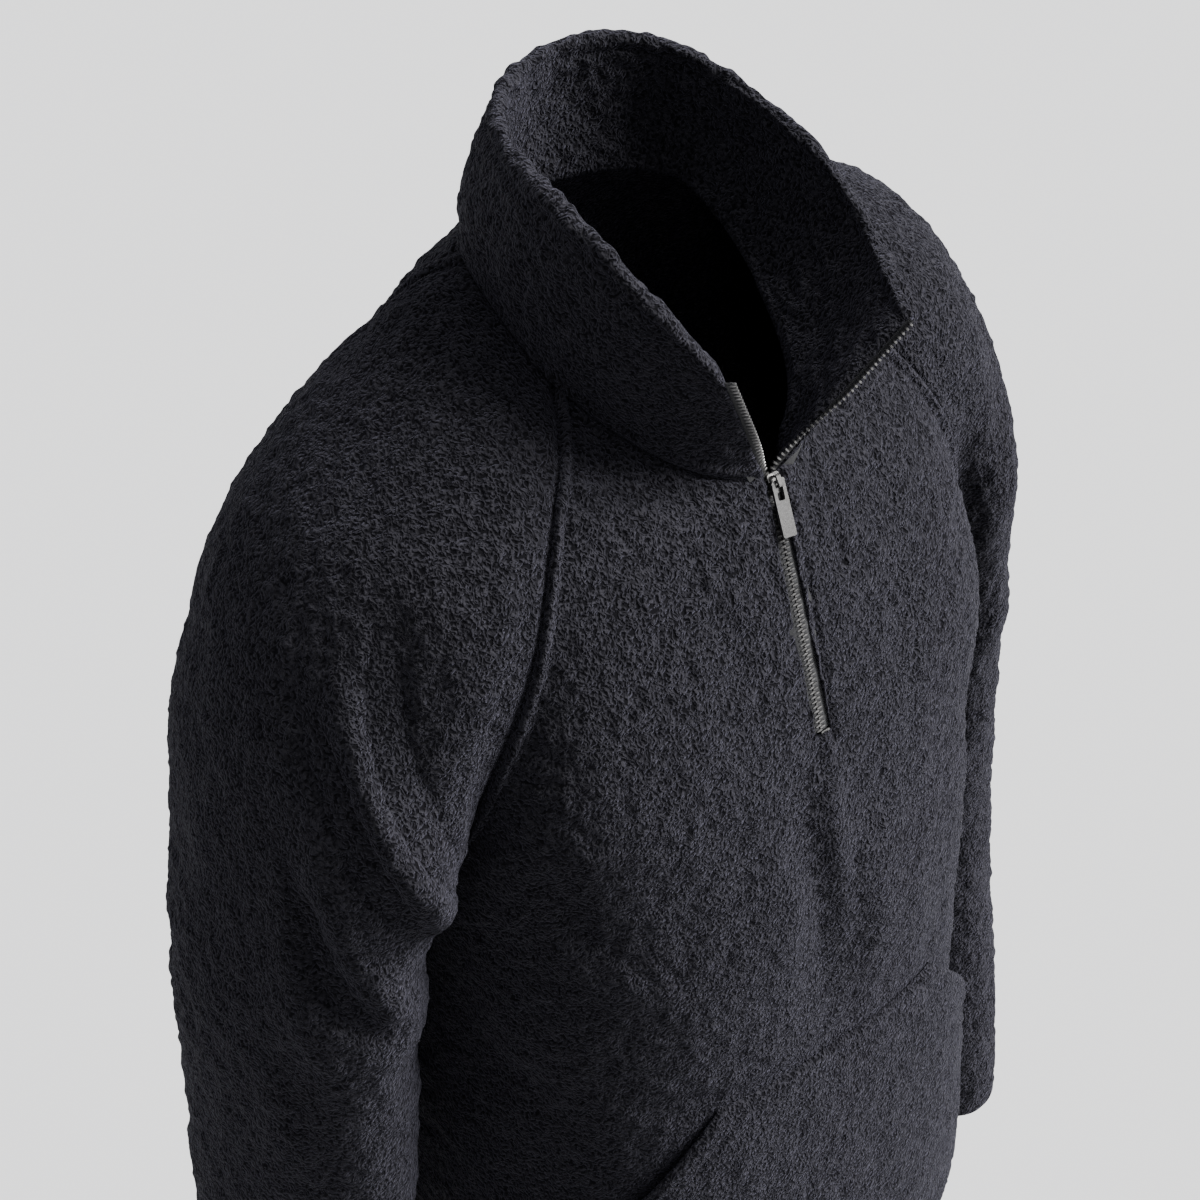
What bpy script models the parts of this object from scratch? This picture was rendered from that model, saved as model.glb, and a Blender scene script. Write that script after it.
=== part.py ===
"""Half-zip pile pullover, worn: raglan sleeves, standing collar, pouch pocket and a metal zip.

Units are metres, +Z is up and the front faces -Y, so the wearer's left is +X.
The origin is the middle of the neck opening, level with the lower edge of the collar's sides.
One hollow surface is worked out from the tables below, shaped by the folds, and then cut along
its seams into the pieces that a maker sews. Each piece is thickened inwards into a wall.
"""

import math

import bmesh
import bpy
import numpy as np

# ---------------------------------------------------------------- sizes

WALL = 0.0040                # knitted pile cloth with its short pile
COLLAR_WALL = 0.0095         # two layers of the cloth, turned over at the top
SEAM_GAP = 0.0003            # between two sewn pieces
POCKET_LIFT = 0.0007         # pocket's back above the front panel
ZIP_SLOT_HALF = 0.0048       # half the opening that holds the zip
CHAIN_HALF_WIDTH = 0.0031    # one side of the zip: its teeth and the tape edge under them
CHAIN_THICKNESS = 0.0024
ZIP_CLEARANCE = 0.0015       # between the open zip and the end of the collar's thick wall

COLUMNS_HALF_FRONT = 11      # grid columns from the zip to a side or raglan seam
COLUMNS_BACK = 22
COLUMNS_SLEEVE = 22
ROWS_YOKE = 13               # neck seam to armpit
ROWS_BODY = 17               # armpit to hem
ROWS_ARM = 21                # armpit to cuff
ZIP_END_ROW = 10             # the yoke row at the zip's lower end

# Raglan rows of the left shoulder, from the neck seam to the armpit. The crest is the outermost
# point of a row. The root lies between its front seam and back seam. Turn is half the angle that
# the row goes round, so 180 closes it into a sleeve. Drop is how far the front seam lies below
# the root, as an angle.
SHOULDER_COLUMNS = ("crest_x", "crest_y", "crest_z", "root_x", "root_y", "root_z",
                    "turn", "front", "back", "drop")
SHOULDER_ROWS = (
    (0.081, 0.010, 0.040, 0.0770, 0.008, 0.036, 60.0, 0.0480, 0.0450, 32.0),
    (0.110, 0.012, 0.045, 0.0960, 0.008, 0.025, 75.0, 0.0700, 0.0575, 21.0),
    (0.143, 0.014, 0.031, 0.1140, 0.007, 0.002, 85.0, 0.0800, 0.0650, 11.0),
    (0.177, 0.015, 0.010, 0.1310, 0.006, -0.028, 90.0, 0.0920, 0.0800, 8.0),
    (0.207, 0.014, -0.013, 0.1460, 0.004, -0.063, 95.0, 0.1000, 0.0900, 4.0),
    (0.232, 0.012, -0.045, 0.1610, 0.003, -0.103, 103.0, 0.1030, 0.0940, 2.0),
    (0.250, 0.010, -0.082, 0.1740, 0.002, -0.145, 118.0, 0.1020, 0.0930, 0.0),
    (0.264, 0.008, -0.124, 0.1820, 0.001, -0.187, 138.0, 0.1100, 0.0900, 0.0),
    (0.274, 0.006, -0.172, 0.1865, 0.001, -0.223, 153.0, 0.1090, 0.0860, 0.0),
    (0.282, 0.005, -0.226, 0.1890, 0.001, -0.244, 180.0, 0.1020, 0.0840, 0.0),
)

# The middle of the front and of the back on the same rows.
MIDDLE_COLUMNS = ("front_y", "front_z", "back_y", "back_z", "front_turn", "back_turn", "square")
MIDDLE_ROWS = (
    (-0.109, -0.034, 0.082, 0.062, 64.0, 70.0, 1.9),
    (-0.119, -0.050, 0.094, 0.045, 68.0, 72.0, 2.0),
    (-0.129, -0.070, 0.104, 0.022, 71.0, 74.0, 2.1),
    (-0.137, -0.092, 0.112, -0.007, 74.0, 76.0, 2.2),
    (-0.143, -0.114, 0.118, -0.040, 77.0, 78.0, 2.3),
    (-0.149, -0.136, 0.122, -0.076, 80.0, 80.0, 2.5),
    (-0.154, -0.157, 0.125, -0.114, 83.0, 83.0, 2.8),
    (-0.159, -0.178, 0.126, -0.154, 86.0, 86.0, 3.0),
    (-0.165, -0.208, 0.126, -0.198, 88.0, 88.0, 3.0),
    (-0.171, -0.244, 0.125, -0.244, 90.0, 90.0, 2.9),
)

# The body below the armpits.
BODY_COLUMNS = ("height", "half_width", "front", "back", "middle_y", "square")
BODY_ROWS = (
    (-0.244, 0.1890, 0.172, 0.124, 0.001, 2.9),
    (-0.285, 0.1860, 0.179, 0.120, 0.000, 2.8),
    (-0.340, 0.1850, 0.182, 0.117, 0.000, 2.8),
    (-0.400, 0.1850, 0.182, 0.115, 0.000, 2.8),
    (-0.480, 0.1870, 0.184, 0.118, 0.000, 2.8),
    (-0.560, 0.1900, 0.187, 0.124, 0.000, 2.8),
    (-0.640, 0.1920, 0.187, 0.128, 0.000, 2.8),
    (-0.680, 0.1890, 0.182, 0.127, 0.000, 2.8),
)

# Each sleeve below the armpit, as rings. The right arm hangs a little wider and further back.
ARM_COLUMNS = ("height", "middle_x", "middle_y", "half_width", "front", "back", "slant")
ARM_ROWS = {
    "left": (
        (-0.244, 0.2365, 0.001, 0.0475, 0.092, 0.084, 0.0),
        (-0.280, 0.2420, 0.004, 0.0500, 0.089, 0.083, 0.0),
        (-0.330, 0.2450, 0.006, 0.0520, 0.084, 0.081, 2.0),
        (-0.390, 0.2480, 0.005, 0.0525, 0.080, 0.078, 5.0),
        (-0.450, 0.2510, -0.002, 0.0520, 0.074, 0.074, 9.0),
        (-0.520, 0.2540, -0.014, 0.0500, 0.069, 0.069, 11.0),
        (-0.590, 0.2550, -0.028, 0.0470, 0.063, 0.063, 12.0),
        (-0.660, 0.2540, -0.044, 0.0440, 0.057, 0.057, 12.0),
        (-0.690, 0.2530, -0.051, 0.0420, 0.054, 0.054, 12.0),
    ),
    "right": (
        (-0.244, 0.2365, 0.001, 0.0475, 0.102, 0.084, 0.0),
        (-0.280, 0.2430, 0.000, 0.0510, 0.097, 0.084, 0.0),
        (-0.330, 0.2470, 0.000, 0.0535, 0.092, 0.082, 0.0),
        (-0.390, 0.2520, 0.000, 0.0540, 0.088, 0.079, 0.0),
        (-0.450, 0.2570, 0.000, 0.0530, 0.084, 0.076, 2.0),
        (-0.520, 0.2620, -0.002, 0.0510, 0.075, 0.070, 4.0),
        (-0.590, 0.2660, -0.007, 0.0480, 0.067, 0.064, 6.0),
        (-0.660, 0.2680, -0.014, 0.0450, 0.060, 0.058, 7.0),
        (-0.690, 0.2680, -0.018, 0.0430, 0.056, 0.055, 7.0),
    ),
}
SHOULDER_LIFT = {"left": 0.030, "right": -0.004}    # worn a little uneven
SHOULDER_OUT = {"left": -0.008, "right": 0.009}
SHOULDER_FRONT = {"left": 0.90, "right": 1.00}      # how full the front of the sleeve's top is

# Rim of the open collar, from the wearer's right corner round the back to the left corner.
RIM_COLUMNS = ("share", "x", "y", "z", "bulge")
RIM_ROWS = (
    (0.00, -0.0460, -0.1190, 0.044, 0.000),
    (0.09, -0.0700, -0.0900, 0.082, 0.003),
    (0.19, -0.0820, -0.0500, 0.110, 0.005),
    (0.29, -0.0800, -0.0080, 0.124, 0.006),
    (0.38, -0.0620, 0.0380, 0.129, 0.006),
    (0.47, -0.0250, 0.0700, 0.133, 0.005),
    (0.55, 0.0250, 0.0800, 0.134, 0.005),
    (0.63, 0.0680, 0.0620, 0.129, 0.006),
    (0.72, 0.0970, 0.0180, 0.109, 0.007),
    (0.81, 0.1080, -0.0280, 0.084, 0.006),
    (0.91, 0.1050, -0.0780, 0.050, 0.004),
    (1.00, 0.0830, -0.1260, 0.033, 0.000),
)
COLLAR_LEVELS = (0.0, 0.10, 0.28, 0.50, 0.75, 1.0)    # neck seam to rim, on each face
COLLAR_ROWS = len(COLLAR_LEVELS) - 1
RIM_STEPS = 3                # round the turned-over top
COLLAR_THIN_COLUMNS = 3      # columns over which its wall thins to one layer at the zip
ZIP_REACH = 0.05             # share of the neck seam over which the zip holds the collar's foot flat

# Folds: troughs (negative) and ridges (positive) pressed into one piece, each along a line.
# Round runs 0 to 1 over the piece's columns and down runs 0 to 1 from its top to its bottom.
FOLD_COLUMNS = ("piece", "round_a", "down_a", "round_b", "down_b", "depth", "half_width")
FOLD_ROWS = (
    ("sleeve_right", 0.24, 0.20, 0.12, 0.30, -0.008, 0.025),
    ("sleeve_right", 0.20, 0.31, 0.12, 0.38, 0.009, 0.028),
    ("sleeve_right", 0.34, 0.36, 0.16, 0.44, -0.007, 0.025),
    ("sleeve_right", 0.24, 0.47, 0.16, 0.50, 0.005, 0.026),
    ("sleeve_right", 0.28, 0.52, 0.14, 0.56, -0.007, 0.022),
    ("sleeve_right", 0.90, 0.41, 0.70, 0.54, -0.007, 0.028),
    ("sleeve_right", 0.92, 0.57, 0.74, 0.68, -0.007, 0.024),
    ("sleeve_left", 0.24, 0.34, 0.10, 0.48, -0.008, 0.026),
    ("sleeve_left", 0.34, 0.46, 0.12, 0.60, -0.008, 0.025),
    ("sleeve_left", 0.30, 0.64, 0.12, 0.73, -0.007, 0.022),
    ("sleeve_left", 0.92, 0.40, 0.72, 0.54, -0.007, 0.028),
    ("sleeve_left", 0.90, 0.58, 0.72, 0.70, -0.007, 0.024),
    ("front", 0.57, 0.45, 0.57, 0.68, 0.006, 0.017),
    ("front", 0.50, 0.47, 0.50, 0.64, -0.005, 0.020),
    ("front", 0.04, 0.52, 0.20, 0.74, -0.008, 0.026),
    ("front", 0.97, 0.50, 0.80, 0.68, -0.008, 0.026),
    ("front", 0.02, 0.74, 0.12, 0.96, -0.006, 0.024),
    ("back", 0.04, 0.48, 0.24, 0.66, -0.009, 0.026),
    ("back", 0.96, 0.48, 0.74, 0.64, -0.009, 0.026),
    ("back", 0.34, 0.68, 0.40, 0.98, -0.007, 0.028),
    ("back", 0.66, 0.64, 0.60, 0.96, -0.008, 0.030),
)

# Pouch pocket, made from the front panel's own cells and moved out. Its side openings slant: each
# of the first rows is one cell wider on each side than the row above it.
POCKET_WALL = 0.0040
POCKET_FIRST_ROW = 20
POCKET_LAST_ROW = 29
POCKET_TOP_CELLS = 3         # cells from the middle strip to the top corner
POCKET_SLANT_ROWS = 4
POCKET_PUFF = 0.010          # how far the pouch stands out in its middle
POCKET_MOUTH = 0.007         # how far its slanted openings stand out

# Slider and pull tab. Along runs down the zip from the slider's upper end, and height is
# measured out from the face of the chain.
SLIDER_WIDTH = 0.0084
SLIDER_LENGTH = 0.0110
SLIDER_PLATE = 0.0011
SLIDER_CLEARANCE = 0.0004
POST_WIDTH = 0.0010
POST_LENGTH = 0.0025
BRIDGE_WIDTH = 0.0028
BRIDGE_START = 0.0010
BRIDGE_END = 0.0080
BRIDGE_HEIGHT = 0.0042
BRIDGE_BAR = 0.0013
TAB_WIDTH = 0.0090
TAB_LENGTH = 0.0305
TAB_THICKNESS = 0.0016
TAB_SLOT_WIDTH = 0.0044
TAB_SLOT_LENGTH = 0.0095
HINGE_ALONG = 0.0047         # the tab turns on its end bar, under the bridge
HINGE_HEIGHT = 0.00145       # above the slider's front plate
TAB_LEAN = 0.5               # degrees that the resting tab leans towards the cloth
STOP_LENGTH = 0.0014
OVERLAP = 0.0003             # how far two shapes that are joined into one run into each other

CLOTH_COLOUR = (0.030, 0.031, 0.036)
METAL_COLOUR = (0.42, 0.41, 0.40)


# ---------------------------------------------------------------- small tools

def table(columns, rows):
    """A table as arrays by column name."""
    return {name: np.array([row[i] for row in rows]) for i, name in enumerate(columns)}


def smooth_read(keys, values, wanted):
    """Values read from a smooth curve (Catmull-Rom) through a table's rows."""
    keys = np.asarray(keys, float)
    values = np.asarray(values, float)
    slopes = np.gradient(values, keys, axis=0)
    at = np.clip(np.searchsorted(keys, wanted, side="right") - 1, 0, len(keys) - 2)
    step = keys[at + 1] - keys[at]
    t = (wanted - keys[at]) / step
    h00 = 2 * t**3 - 3 * t**2 + 1
    h10 = t**3 - 2 * t**2 + t
    h01 = -2 * t**3 + 3 * t**2
    h11 = t**3 - t**2
    return (h00 * values[at] + h10 * step * slopes[at]
            + h01 * values[at + 1] + h11 * step * slopes[at + 1])


def read_rows(columns, rows, count):
    """A table read at evenly spaced places from its first row to its last."""
    data = table(columns, rows)
    keys = np.arange(len(rows))
    wanted = np.linspace(0, len(rows) - 1, count)
    return {name: smooth_read(keys, data[name], wanted) for name in columns}


def spread(points, count):
    """Points along a polyline, evenly spaced by length."""
    steps = np.linalg.norm(np.diff(points, axis=0), axis=1)
    length = np.concatenate([[0.0], np.cumsum(steps)])
    wanted = np.linspace(0.0, length[-1], count)
    return np.stack([np.interp(wanted, length, points[:, k]) for k in range(3)], axis=1)


def power(value, exponent):
    return np.sign(value) * np.abs(value) ** exponent


# ---------------------------------------------------------------- the rows of the garment

def half_arc(seam, middle, turn, square, inner_x, count):
    """One side of a front or back row, from inner_x near the middle out to the seam."""
    end = math.radians(turn)
    angle = np.linspace(0.0, end, 90)
    reach = power(np.sin(angle), 2.0 / square) / math.sin(end) ** (2.0 / square)
    end_bow = max(math.cos(end), 0.0) ** (2.0 / square)
    bow = (power(np.cos(angle), 2.0 / square) - end_bow) / (1.0 - end_bow)
    points = np.stack([
        seam[0] * reach,
        seam[1] + (middle[1] - seam[1]) * bow,
        seam[2] + (middle[2] - seam[2]) * bow,
    ], axis=1)
    start = np.array([np.interp(inner_x, points[:, 0], points[:, k]) for k in range(3)])
    points = np.concatenate([[start], points[points[:, 0] > inner_x]])
    return spread(points, count)


def shoulder_arc(row, count):
    """A raglan row of the left sleeve, from its front seam over the crest to its back seam."""
    turn = math.radians(min(row["turn"], 179.999))
    angle = np.linspace(turn, -turn, 160)
    crest = np.array([row["crest_x"], row["crest_y"], row["crest_z"]])
    root = np.array([row["root_x"], row["root_y"], row["root_z"]])
    drop = math.radians(row["drop"])
    forward = np.array([0.0, -math.cos(drop), -math.sin(drop)])
    out = (np.cos(angle) - math.cos(turn)) / (1.0 - math.cos(turn))
    across = np.where(angle > 0, row["front"], row["back"]) * np.sin(angle)
    points = root + out[:, None] * (crest - root) + across[:, None] * forward
    return spread(points, count)


def arm_ring(row, count):
    """A ring of the left sleeve, from its inner side round the front, the outside and the back."""
    angle = np.linspace(math.pi, -math.pi, 160)
    across = np.where(angle > 0, row["front"], row["back"]) * np.sin(angle)
    slant = math.radians(row["slant"])
    points = np.stack([
        row["middle_x"] + row["half_width"] * np.cos(angle),
        row["middle_y"] - across * math.cos(slant),
        row["height"] - across * math.sin(slant),
    ], axis=1)
    return spread(points, count)


def row_at(rows, index):
    return {name: values[index] for name, values in rows.items()}


class Garment:
    """The whole hollow surface: shared points, and the faces of each piece."""

    def __init__(self):
        self.points = []
        self.index = {}
        self.faces = {}
        self.grids = {}
        self.normals = None

    def add(self, point):
        key = tuple(round(float(c), 6) for c in point)
        if key not in self.index:
            self.index[key] = len(self.points)
            self.points.append(np.array(point, float))
        return self.index[key]

    def add_grid(self, piece, rows):
        """Stores a piece's rows of points and the faces between them."""
        grid = [[self.add(point) for point in row] for row in rows]
        self.grids[piece] = np.array(grid)
        faces = []
        for upper, lower in zip(grid[:-1], grid[1:]):
            for k in range(len(upper) - 1):
                faces.append(clean_face((upper[k], lower[k], lower[k + 1], upper[k + 1])))
        self.faces[piece] = [face for face in faces if len(face) > 2]


def clean_face(face):
    """The face without a corner that is there twice."""
    kept = []
    for corner in face:
        if corner not in kept:
            kept.append(corner)
    return tuple(kept)


def mirrored(rows):
    return [row * np.array([-1.0, 1.0, 1.0]) for row in rows]


def lift(points, side):
    """Raises and widens one shoulder: nothing at the neck and all of it past the shoulder."""
    share = np.clip((np.abs(points[:, 0]) - 0.11) / 0.10, 0.0, 1.0)
    outer = np.clip((np.abs(points[:, 0]) - 0.18) / 0.06, 0.0, 1.0)
    fade = np.clip((points[:, 2] + 0.24) / 0.12, 0.0, 1.0)
    arm = np.clip((points[:, 2] + 0.42) / 0.16, 0.0, 1.0)
    moved = points.copy()
    moved[:, 2] += SHOULDER_LIFT[side] * share * fade
    moved[:, 0] += SHOULDER_OUT[side] * outer * arm
    return moved


def sleeve_rows(side):
    """All rows of one sleeve as if it were the left one, neck to cuff."""
    shoulder = read_rows(SHOULDER_COLUMNS, SHOULDER_ROWS, ROWS_YOKE + 1)
    full = np.linspace(1.0, SHOULDER_FRONT[side], ROWS_YOKE + 1)
    shoulder["front"] = shoulder["front"] * full
    arm = read_rows(ARM_COLUMNS, ARM_ROWS[side], ROWS_ARM + 1)
    count = COLUMNS_SLEEVE + 1
    rows = [shoulder_arc(row_at(shoulder, i), count) for i in range(ROWS_YOKE + 1)]
    armpit = rows[-1][0] * 0.5 + rows[-1][-1] * 0.5
    rows[-1][0] = armpit
    rows[-1][-1] = armpit
    for i in range(1, ROWS_ARM + 1):
        ring = arm_ring(row_at(arm, i), count)
        ring[-1] = ring[0]
        rows.append(ring)
    return [lift(row, side) for row in rows]


def panel_rows(sleeves, is_front):
    """Rows of the front or back: raglan seam to raglan seam, then side seam to side seam."""
    middle = read_rows(MIDDLE_COLUMNS, MIDDLE_ROWS, ROWS_YOKE + 1)
    body = read_rows(BODY_COLUMNS, BODY_ROWS, ROWS_BODY + 1)
    name = "front" if is_front else "back"
    seam_column = 0 if is_front else -1
    half = COLUMNS_HALF_FRONT if is_front else COLUMNS_BACK // 2
    inner = ZIP_SLOT_HALF if is_front else 0.0
    rows = []
    for i in range(ROWS_YOKE + 1 + ROWS_BODY):
        halves = []
        for side, sign in (("right", -1.0), ("left", 1.0)):
            if i <= ROWS_YOKE:
                seam = sleeves[side][i][seam_column]
                centre = np.array([0.0, middle[name + "_y"][i], middle[name + "_z"][i]])
                turn = middle[name + "_turn"][i]
                square = middle["square"][i]
            else:
                row = row_at(body, i - ROWS_YOKE)
                seam = np.array([row["half_width"], row["middle_y"], row["height"]])
                reach = -row["front"] if is_front else row["back"]
                centre = np.array([0.0, row["middle_y"] + reach, row["height"]])
                turn = 90.0
                square = row["square"]
            arc = half_arc(seam, centre, turn, square, inner, half + 1)
            arc[-1] = seam
            halves.append(arc * np.array([sign, 1.0, 1.0]))
        right, left = halves
        rows.append(np.concatenate([right[::-1], left if is_front else left[1:]]))
    return rows


def build_surface():
    """Lays out the four pieces of the body with shared points along their seams."""
    garment = Garment()
    sleeves = {side: sleeve_rows(side) for side in ("right", "left")}
    garment.add_grid("sleeve_left", sleeves["left"])
    garment.add_grid("sleeve_right", mirrored(sleeves["right"]))
    garment.add_grid("front", panel_rows(sleeves, True))
    garment.add_grid("back", panel_rows(sleeves, False))
    garment.points = np.array(garment.points)
    for piece in ("sleeve_right", "back"):
        garment.faces[piece] = [face[::-1] for face in garment.faces[piece]]
    return garment


def all_faces(garment):
    return [face for faces in garment.faces.values() for face in faces]


def neighbours(garment):
    near = [set() for _ in garment.points]
    for face in all_faces(garment):
        for a, b in zip(face, face[1:] + face[:1]):
            near[a].add(b)
            near[b].add(a)
    return [sorted(n) for n in near]


def border_points(faces):
    """Points on the open edges of a set of faces."""
    count = {}
    for face in faces:
        for a, b in zip(face, face[1:] + face[:1]):
            key = (min(a, b), max(a, b))
            count[key] = count.get(key, 0) + 1
    return {p for key, n in count.items() if n == 1 for p in key}


def soften(garment, rounds=3):
    """Evens out the creases where rows of different pieces meet, without shrinking."""
    near = neighbours(garment)
    fixed = border_points(all_faces(garment))
    for _ in range(rounds):
        for weight in (0.50, -0.52):
            mean = np.array([garment.points[n].mean(axis=0) for n in near])
            moved = garment.points + weight * (mean - garment.points)
            for p in fixed:
                moved[p] = garment.points[p]
            garment.points = moved


def point_normals(points, faces):
    normals = np.zeros_like(points)
    for face in faces:
        corner = points[list(face)]
        if len(face) == 4:
            n = np.cross(corner[2] - corner[0], corner[3] - corner[1])
        else:
            n = np.cross(corner[1] - corner[0], corner[2] - corner[0])
        for p in face:
            normals[p] += n
    length = np.linalg.norm(normals, axis=1, keepdims=True)
    return normals / np.maximum(length, 1e-12)


def garment_normals(garment):
    """Normals that lie halfway between the body and a sleeve where they meet."""
    body = garment.faces["front"] + garment.faces["back"]
    groups = (body, garment.faces["sleeve_right"], garment.faces["sleeve_left"])
    total = sum(point_normals(garment.points, faces) for faces in groups)
    length = np.linalg.norm(total, axis=1, keepdims=True)
    return total / np.maximum(length, 1e-12)


def press_folds(garment):
    """Moves points along the surface's normals by the fold table."""
    normals = garment_normals(garment)
    shift = np.zeros(len(garment.points))
    for fold in FOLD_ROWS:
        row = dict(zip(FOLD_COLUMNS, fold))
        grid = garment.grids[row["piece"]]
        last_row = grid.shape[0] - 1
        last_column = grid.shape[1] - 1
        a = np.array([row["down_a"] * last_row, row["round_a"] * last_column])
        b = np.array([row["down_b"] * last_row, row["round_b"] * last_column])
        line = np.array([
            grid_point(garment, grid, *(a + (b - a) * t)) for t in np.linspace(0.0, 1.0, 24)
        ])
        taper = np.sin(np.linspace(0.12, math.pi - 0.12, 24))
        ids = np.unique(grid)
        gap = np.linalg.norm(garment.points[ids][:, None, :] - line[None, :, :], axis=2)
        nearest = gap.argmin(axis=1)
        strength = np.exp(-((gap.min(axis=1) / row["half_width"]) ** 2)) * taper[nearest]
        shift[ids] += row["depth"] * strength
    garment.points = garment.points + shift[:, None] * normals


def grid_point(garment, grid, row, column):
    """A point of a piece at a fractional row and column."""
    r = int(min(max(row, 0), grid.shape[0] - 1.001))
    c = int(min(max(column, 0), grid.shape[1] - 1.001))
    s, t = row - r, column - c
    p = garment.points
    return ((1 - s) * (1 - t) * p[grid[r, c]] + (1 - s) * t * p[grid[r, c + 1]]
            + s * (1 - t) * p[grid[r + 1, c]] + s * t * p[grid[r + 1, c + 1]])


def open_zip_slot(garment):
    """Takes the middle cells out of the front panel, down to the zip's lower end."""
    grid = garment.grids["front"]
    middle = COLUMNS_HALF_FRONT
    cut = {frozenset((grid[r, middle], grid[r + 1, middle], grid[r + 1, middle + 1],
                      grid[r, middle + 1])) for r in range(ZIP_END_ROW)}
    garment.faces["front"] = [f for f in garment.faces["front"] if frozenset(f) not in cut]


# ---------------------------------------------------------------- solids

def material(name, colour, roughness, metallic):
    result = bpy.data.materials.new(name)
    result.use_nodes = True
    shader = result.node_tree.nodes["Principled BSDF"]
    shader.inputs["Base Color"].default_value = (*colour, 1.0)
    shader.inputs["Roughness"].default_value = roughness
    shader.inputs["Metallic"].default_value = metallic
    return result


def pile_cloth(name):
    return material(name, CLOTH_COLOUR, 0.95, 0.0)


def metal(name):
    return material(name, METAL_COLOUR, 0.34, 1.0)


def add_object(name, points, faces, surface, origin=(0.0, 0.0, 0.0)):
    """A named object with its faces turned outwards and its origin where asked."""
    mesh = bpy.data.meshes.new(name)
    origin = np.array(origin)
    mesh.from_pydata([tuple(p) for p in np.asarray(points) - origin], [], [tuple(f) for f in faces])
    mesh.materials.append(surface)
    shape = bmesh.new()
    shape.from_mesh(mesh)
    bmesh.ops.recalc_face_normals(shape, faces=shape.faces)
    if shape.calc_volume(signed=True) < 0:
        bmesh.ops.reverse_faces(shape, faces=shape.faces)
    shape.to_mesh(mesh)
    shape.free()
    mesh.shade_smooth()
    mesh.set_sharp_from_angle(angle=math.radians(50))
    placed = bpy.data.objects.new(name, mesh)
    placed.location = origin
    bpy.context.scene.collection.objects.link(placed)
    return placed


def draw_in(points, normals, faces, distance):
    """Moves a piece's border inwards for the seam gap: along its own surface, and into its wall
    where the seam is sharp and the shared normal differs from the piece's own."""
    border = border_points(faces)
    own = point_normals(points, faces)
    pull = np.zeros_like(points)
    for face in faces:
        centre = points[list(face)].mean(axis=0)
        for p in face:
            if p in border:
                pull[p] += centre - points[p]
    moved = points.copy()
    for p in border:
        along = pull[p] - own[p] * np.dot(pull[p], own[p])
        size = max(np.linalg.norm(along), 1e-9)
        sharp = 1.0 - np.dot(own[p], normals[p])
        moved[p] += (along / size - own[p] * sharp) * distance
    return moved


def split_twisted(points, faces, allowed):
    """Cuts every four-sided face that is twisted more than allowed, along its shorter diagonal."""
    result = []
    for face in faces:
        corner = points[list(face)]
        if len(face) == 4:
            flat = np.cross(corner[2] - corner[0], corner[3] - corner[1])
            flat /= max(np.linalg.norm(flat), 1e-12)
            if abs(np.dot(corner[1] - corner[0], flat)) > allowed:
                first = np.linalg.norm(corner[2] - corner[0])
                second = np.linalg.norm(corner[3] - corner[1])
                turned = face if first < second else face[1:] + face[:1]
                result.append((turned[0], turned[1], turned[2]))
                result.append((turned[0], turned[2], turned[3]))
                continue
        result.append(face)
    return result


def wall_from_surface(name, points, normals, faces, thickness, surface):
    """Thickens faces inwards into one closed wall."""
    faces = split_twisted(points, faces, thickness * 0.2)
    drawn = draw_in(points, normals, faces, SEAM_GAP)
    used = sorted({p for face in faces for p in face})
    place = {p: i for i, p in enumerate(used)}
    outer = drawn[used]
    inner = outer - normals[used] * thickness
    count = len(used)
    solid = [tuple(place[p] for p in face) for face in faces]
    solid += [tuple(place[p] + count for p in face[::-1]) for face in faces]
    edges = {}
    for face in faces:
        for a, b in zip(face, face[1:] + face[:1]):
            edges[(a, b)] = edges.get((a, b), 0) + 1
    for a, b in edges:
        if (b, a) not in edges:
            i, j = place[a], place[b]
            solid.append((j, i, i + count, j + count))
    return add_object(name, np.concatenate([outer, inner]), solid, surface)


def make_panels(garment):
    for piece in ("front", "back", "sleeve_right", "sleeve_left"):
        wall_from_surface(piece, garment.points, garment.normals, garment.faces[piece], WALL,
                          pile_cloth("pile_" + piece))


# ---------------------------------------------------------------- collar

def neck_line(garment):
    """The neck seam, from the zip's right side round the back to its left side."""
    front = garment.grids["front"][0]
    middle = COLUMNS_HALF_FRONT
    right = list(front[:middle + 1][::-1])
    left = list(front[middle + 1:][::-1])
    line = right + list(garment.grids["sleeve_right"][0][1:])
    line += list(garment.grids["back"][0][1:])
    line += list(garment.grids["sleeve_left"][0][::-1][1:])
    line += left[1:]
    return line


def collar_surface(garment):
    """Outer points of the collar, columns round the neck and rows up to the rim."""
    line = neck_line(garment)
    base = garment.points[line]
    steps = np.linalg.norm(np.diff(base, axis=0), axis=1)
    share = np.concatenate([[0.0], np.cumsum(steps)]) / steps.sum()
    rim = table(RIM_COLUMNS, RIM_ROWS)
    place = np.stack([smooth_read(rim["share"], rim[c], share) for c in ("x", "y", "z")], axis=1)
    bulge = smooth_read(rim["share"], rim["bulge"], share)
    outward = collar_outward(base, place)
    follow = np.exp(-(np.minimum(share, 1.0 - share) / ZIP_REACH) ** 2)[:, None]
    rise = (place - base) / np.linalg.norm(place - base, axis=1, keepdims=True)
    foot = base + rise * (2.0 * SEAM_GAP)
    rows, normals = [], []
    for level in COLLAR_LEVELS:
        swell = math.sin(math.pi * level) * bulge
        rows.append(foot + (place - foot) * level + outward * swell[:, None])
        share_of_front = follow * max(0.0, 1.0 - 2.0 * level)
        normal = outward + (garment.normals[line] - outward) * share_of_front
        normals.append(normal / np.linalg.norm(normal, axis=1, keepdims=True))
    return np.array(rows), np.array(normals)


def collar_outward(base, place):
    """Directions out of the collar's surface, level along each column."""
    along = np.gradient(base * 0.5 + place * 0.5, axis=0)
    up = place - base
    outward = np.cross(up, along)
    return outward / np.linalg.norm(outward, axis=1, keepdims=True)


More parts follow.
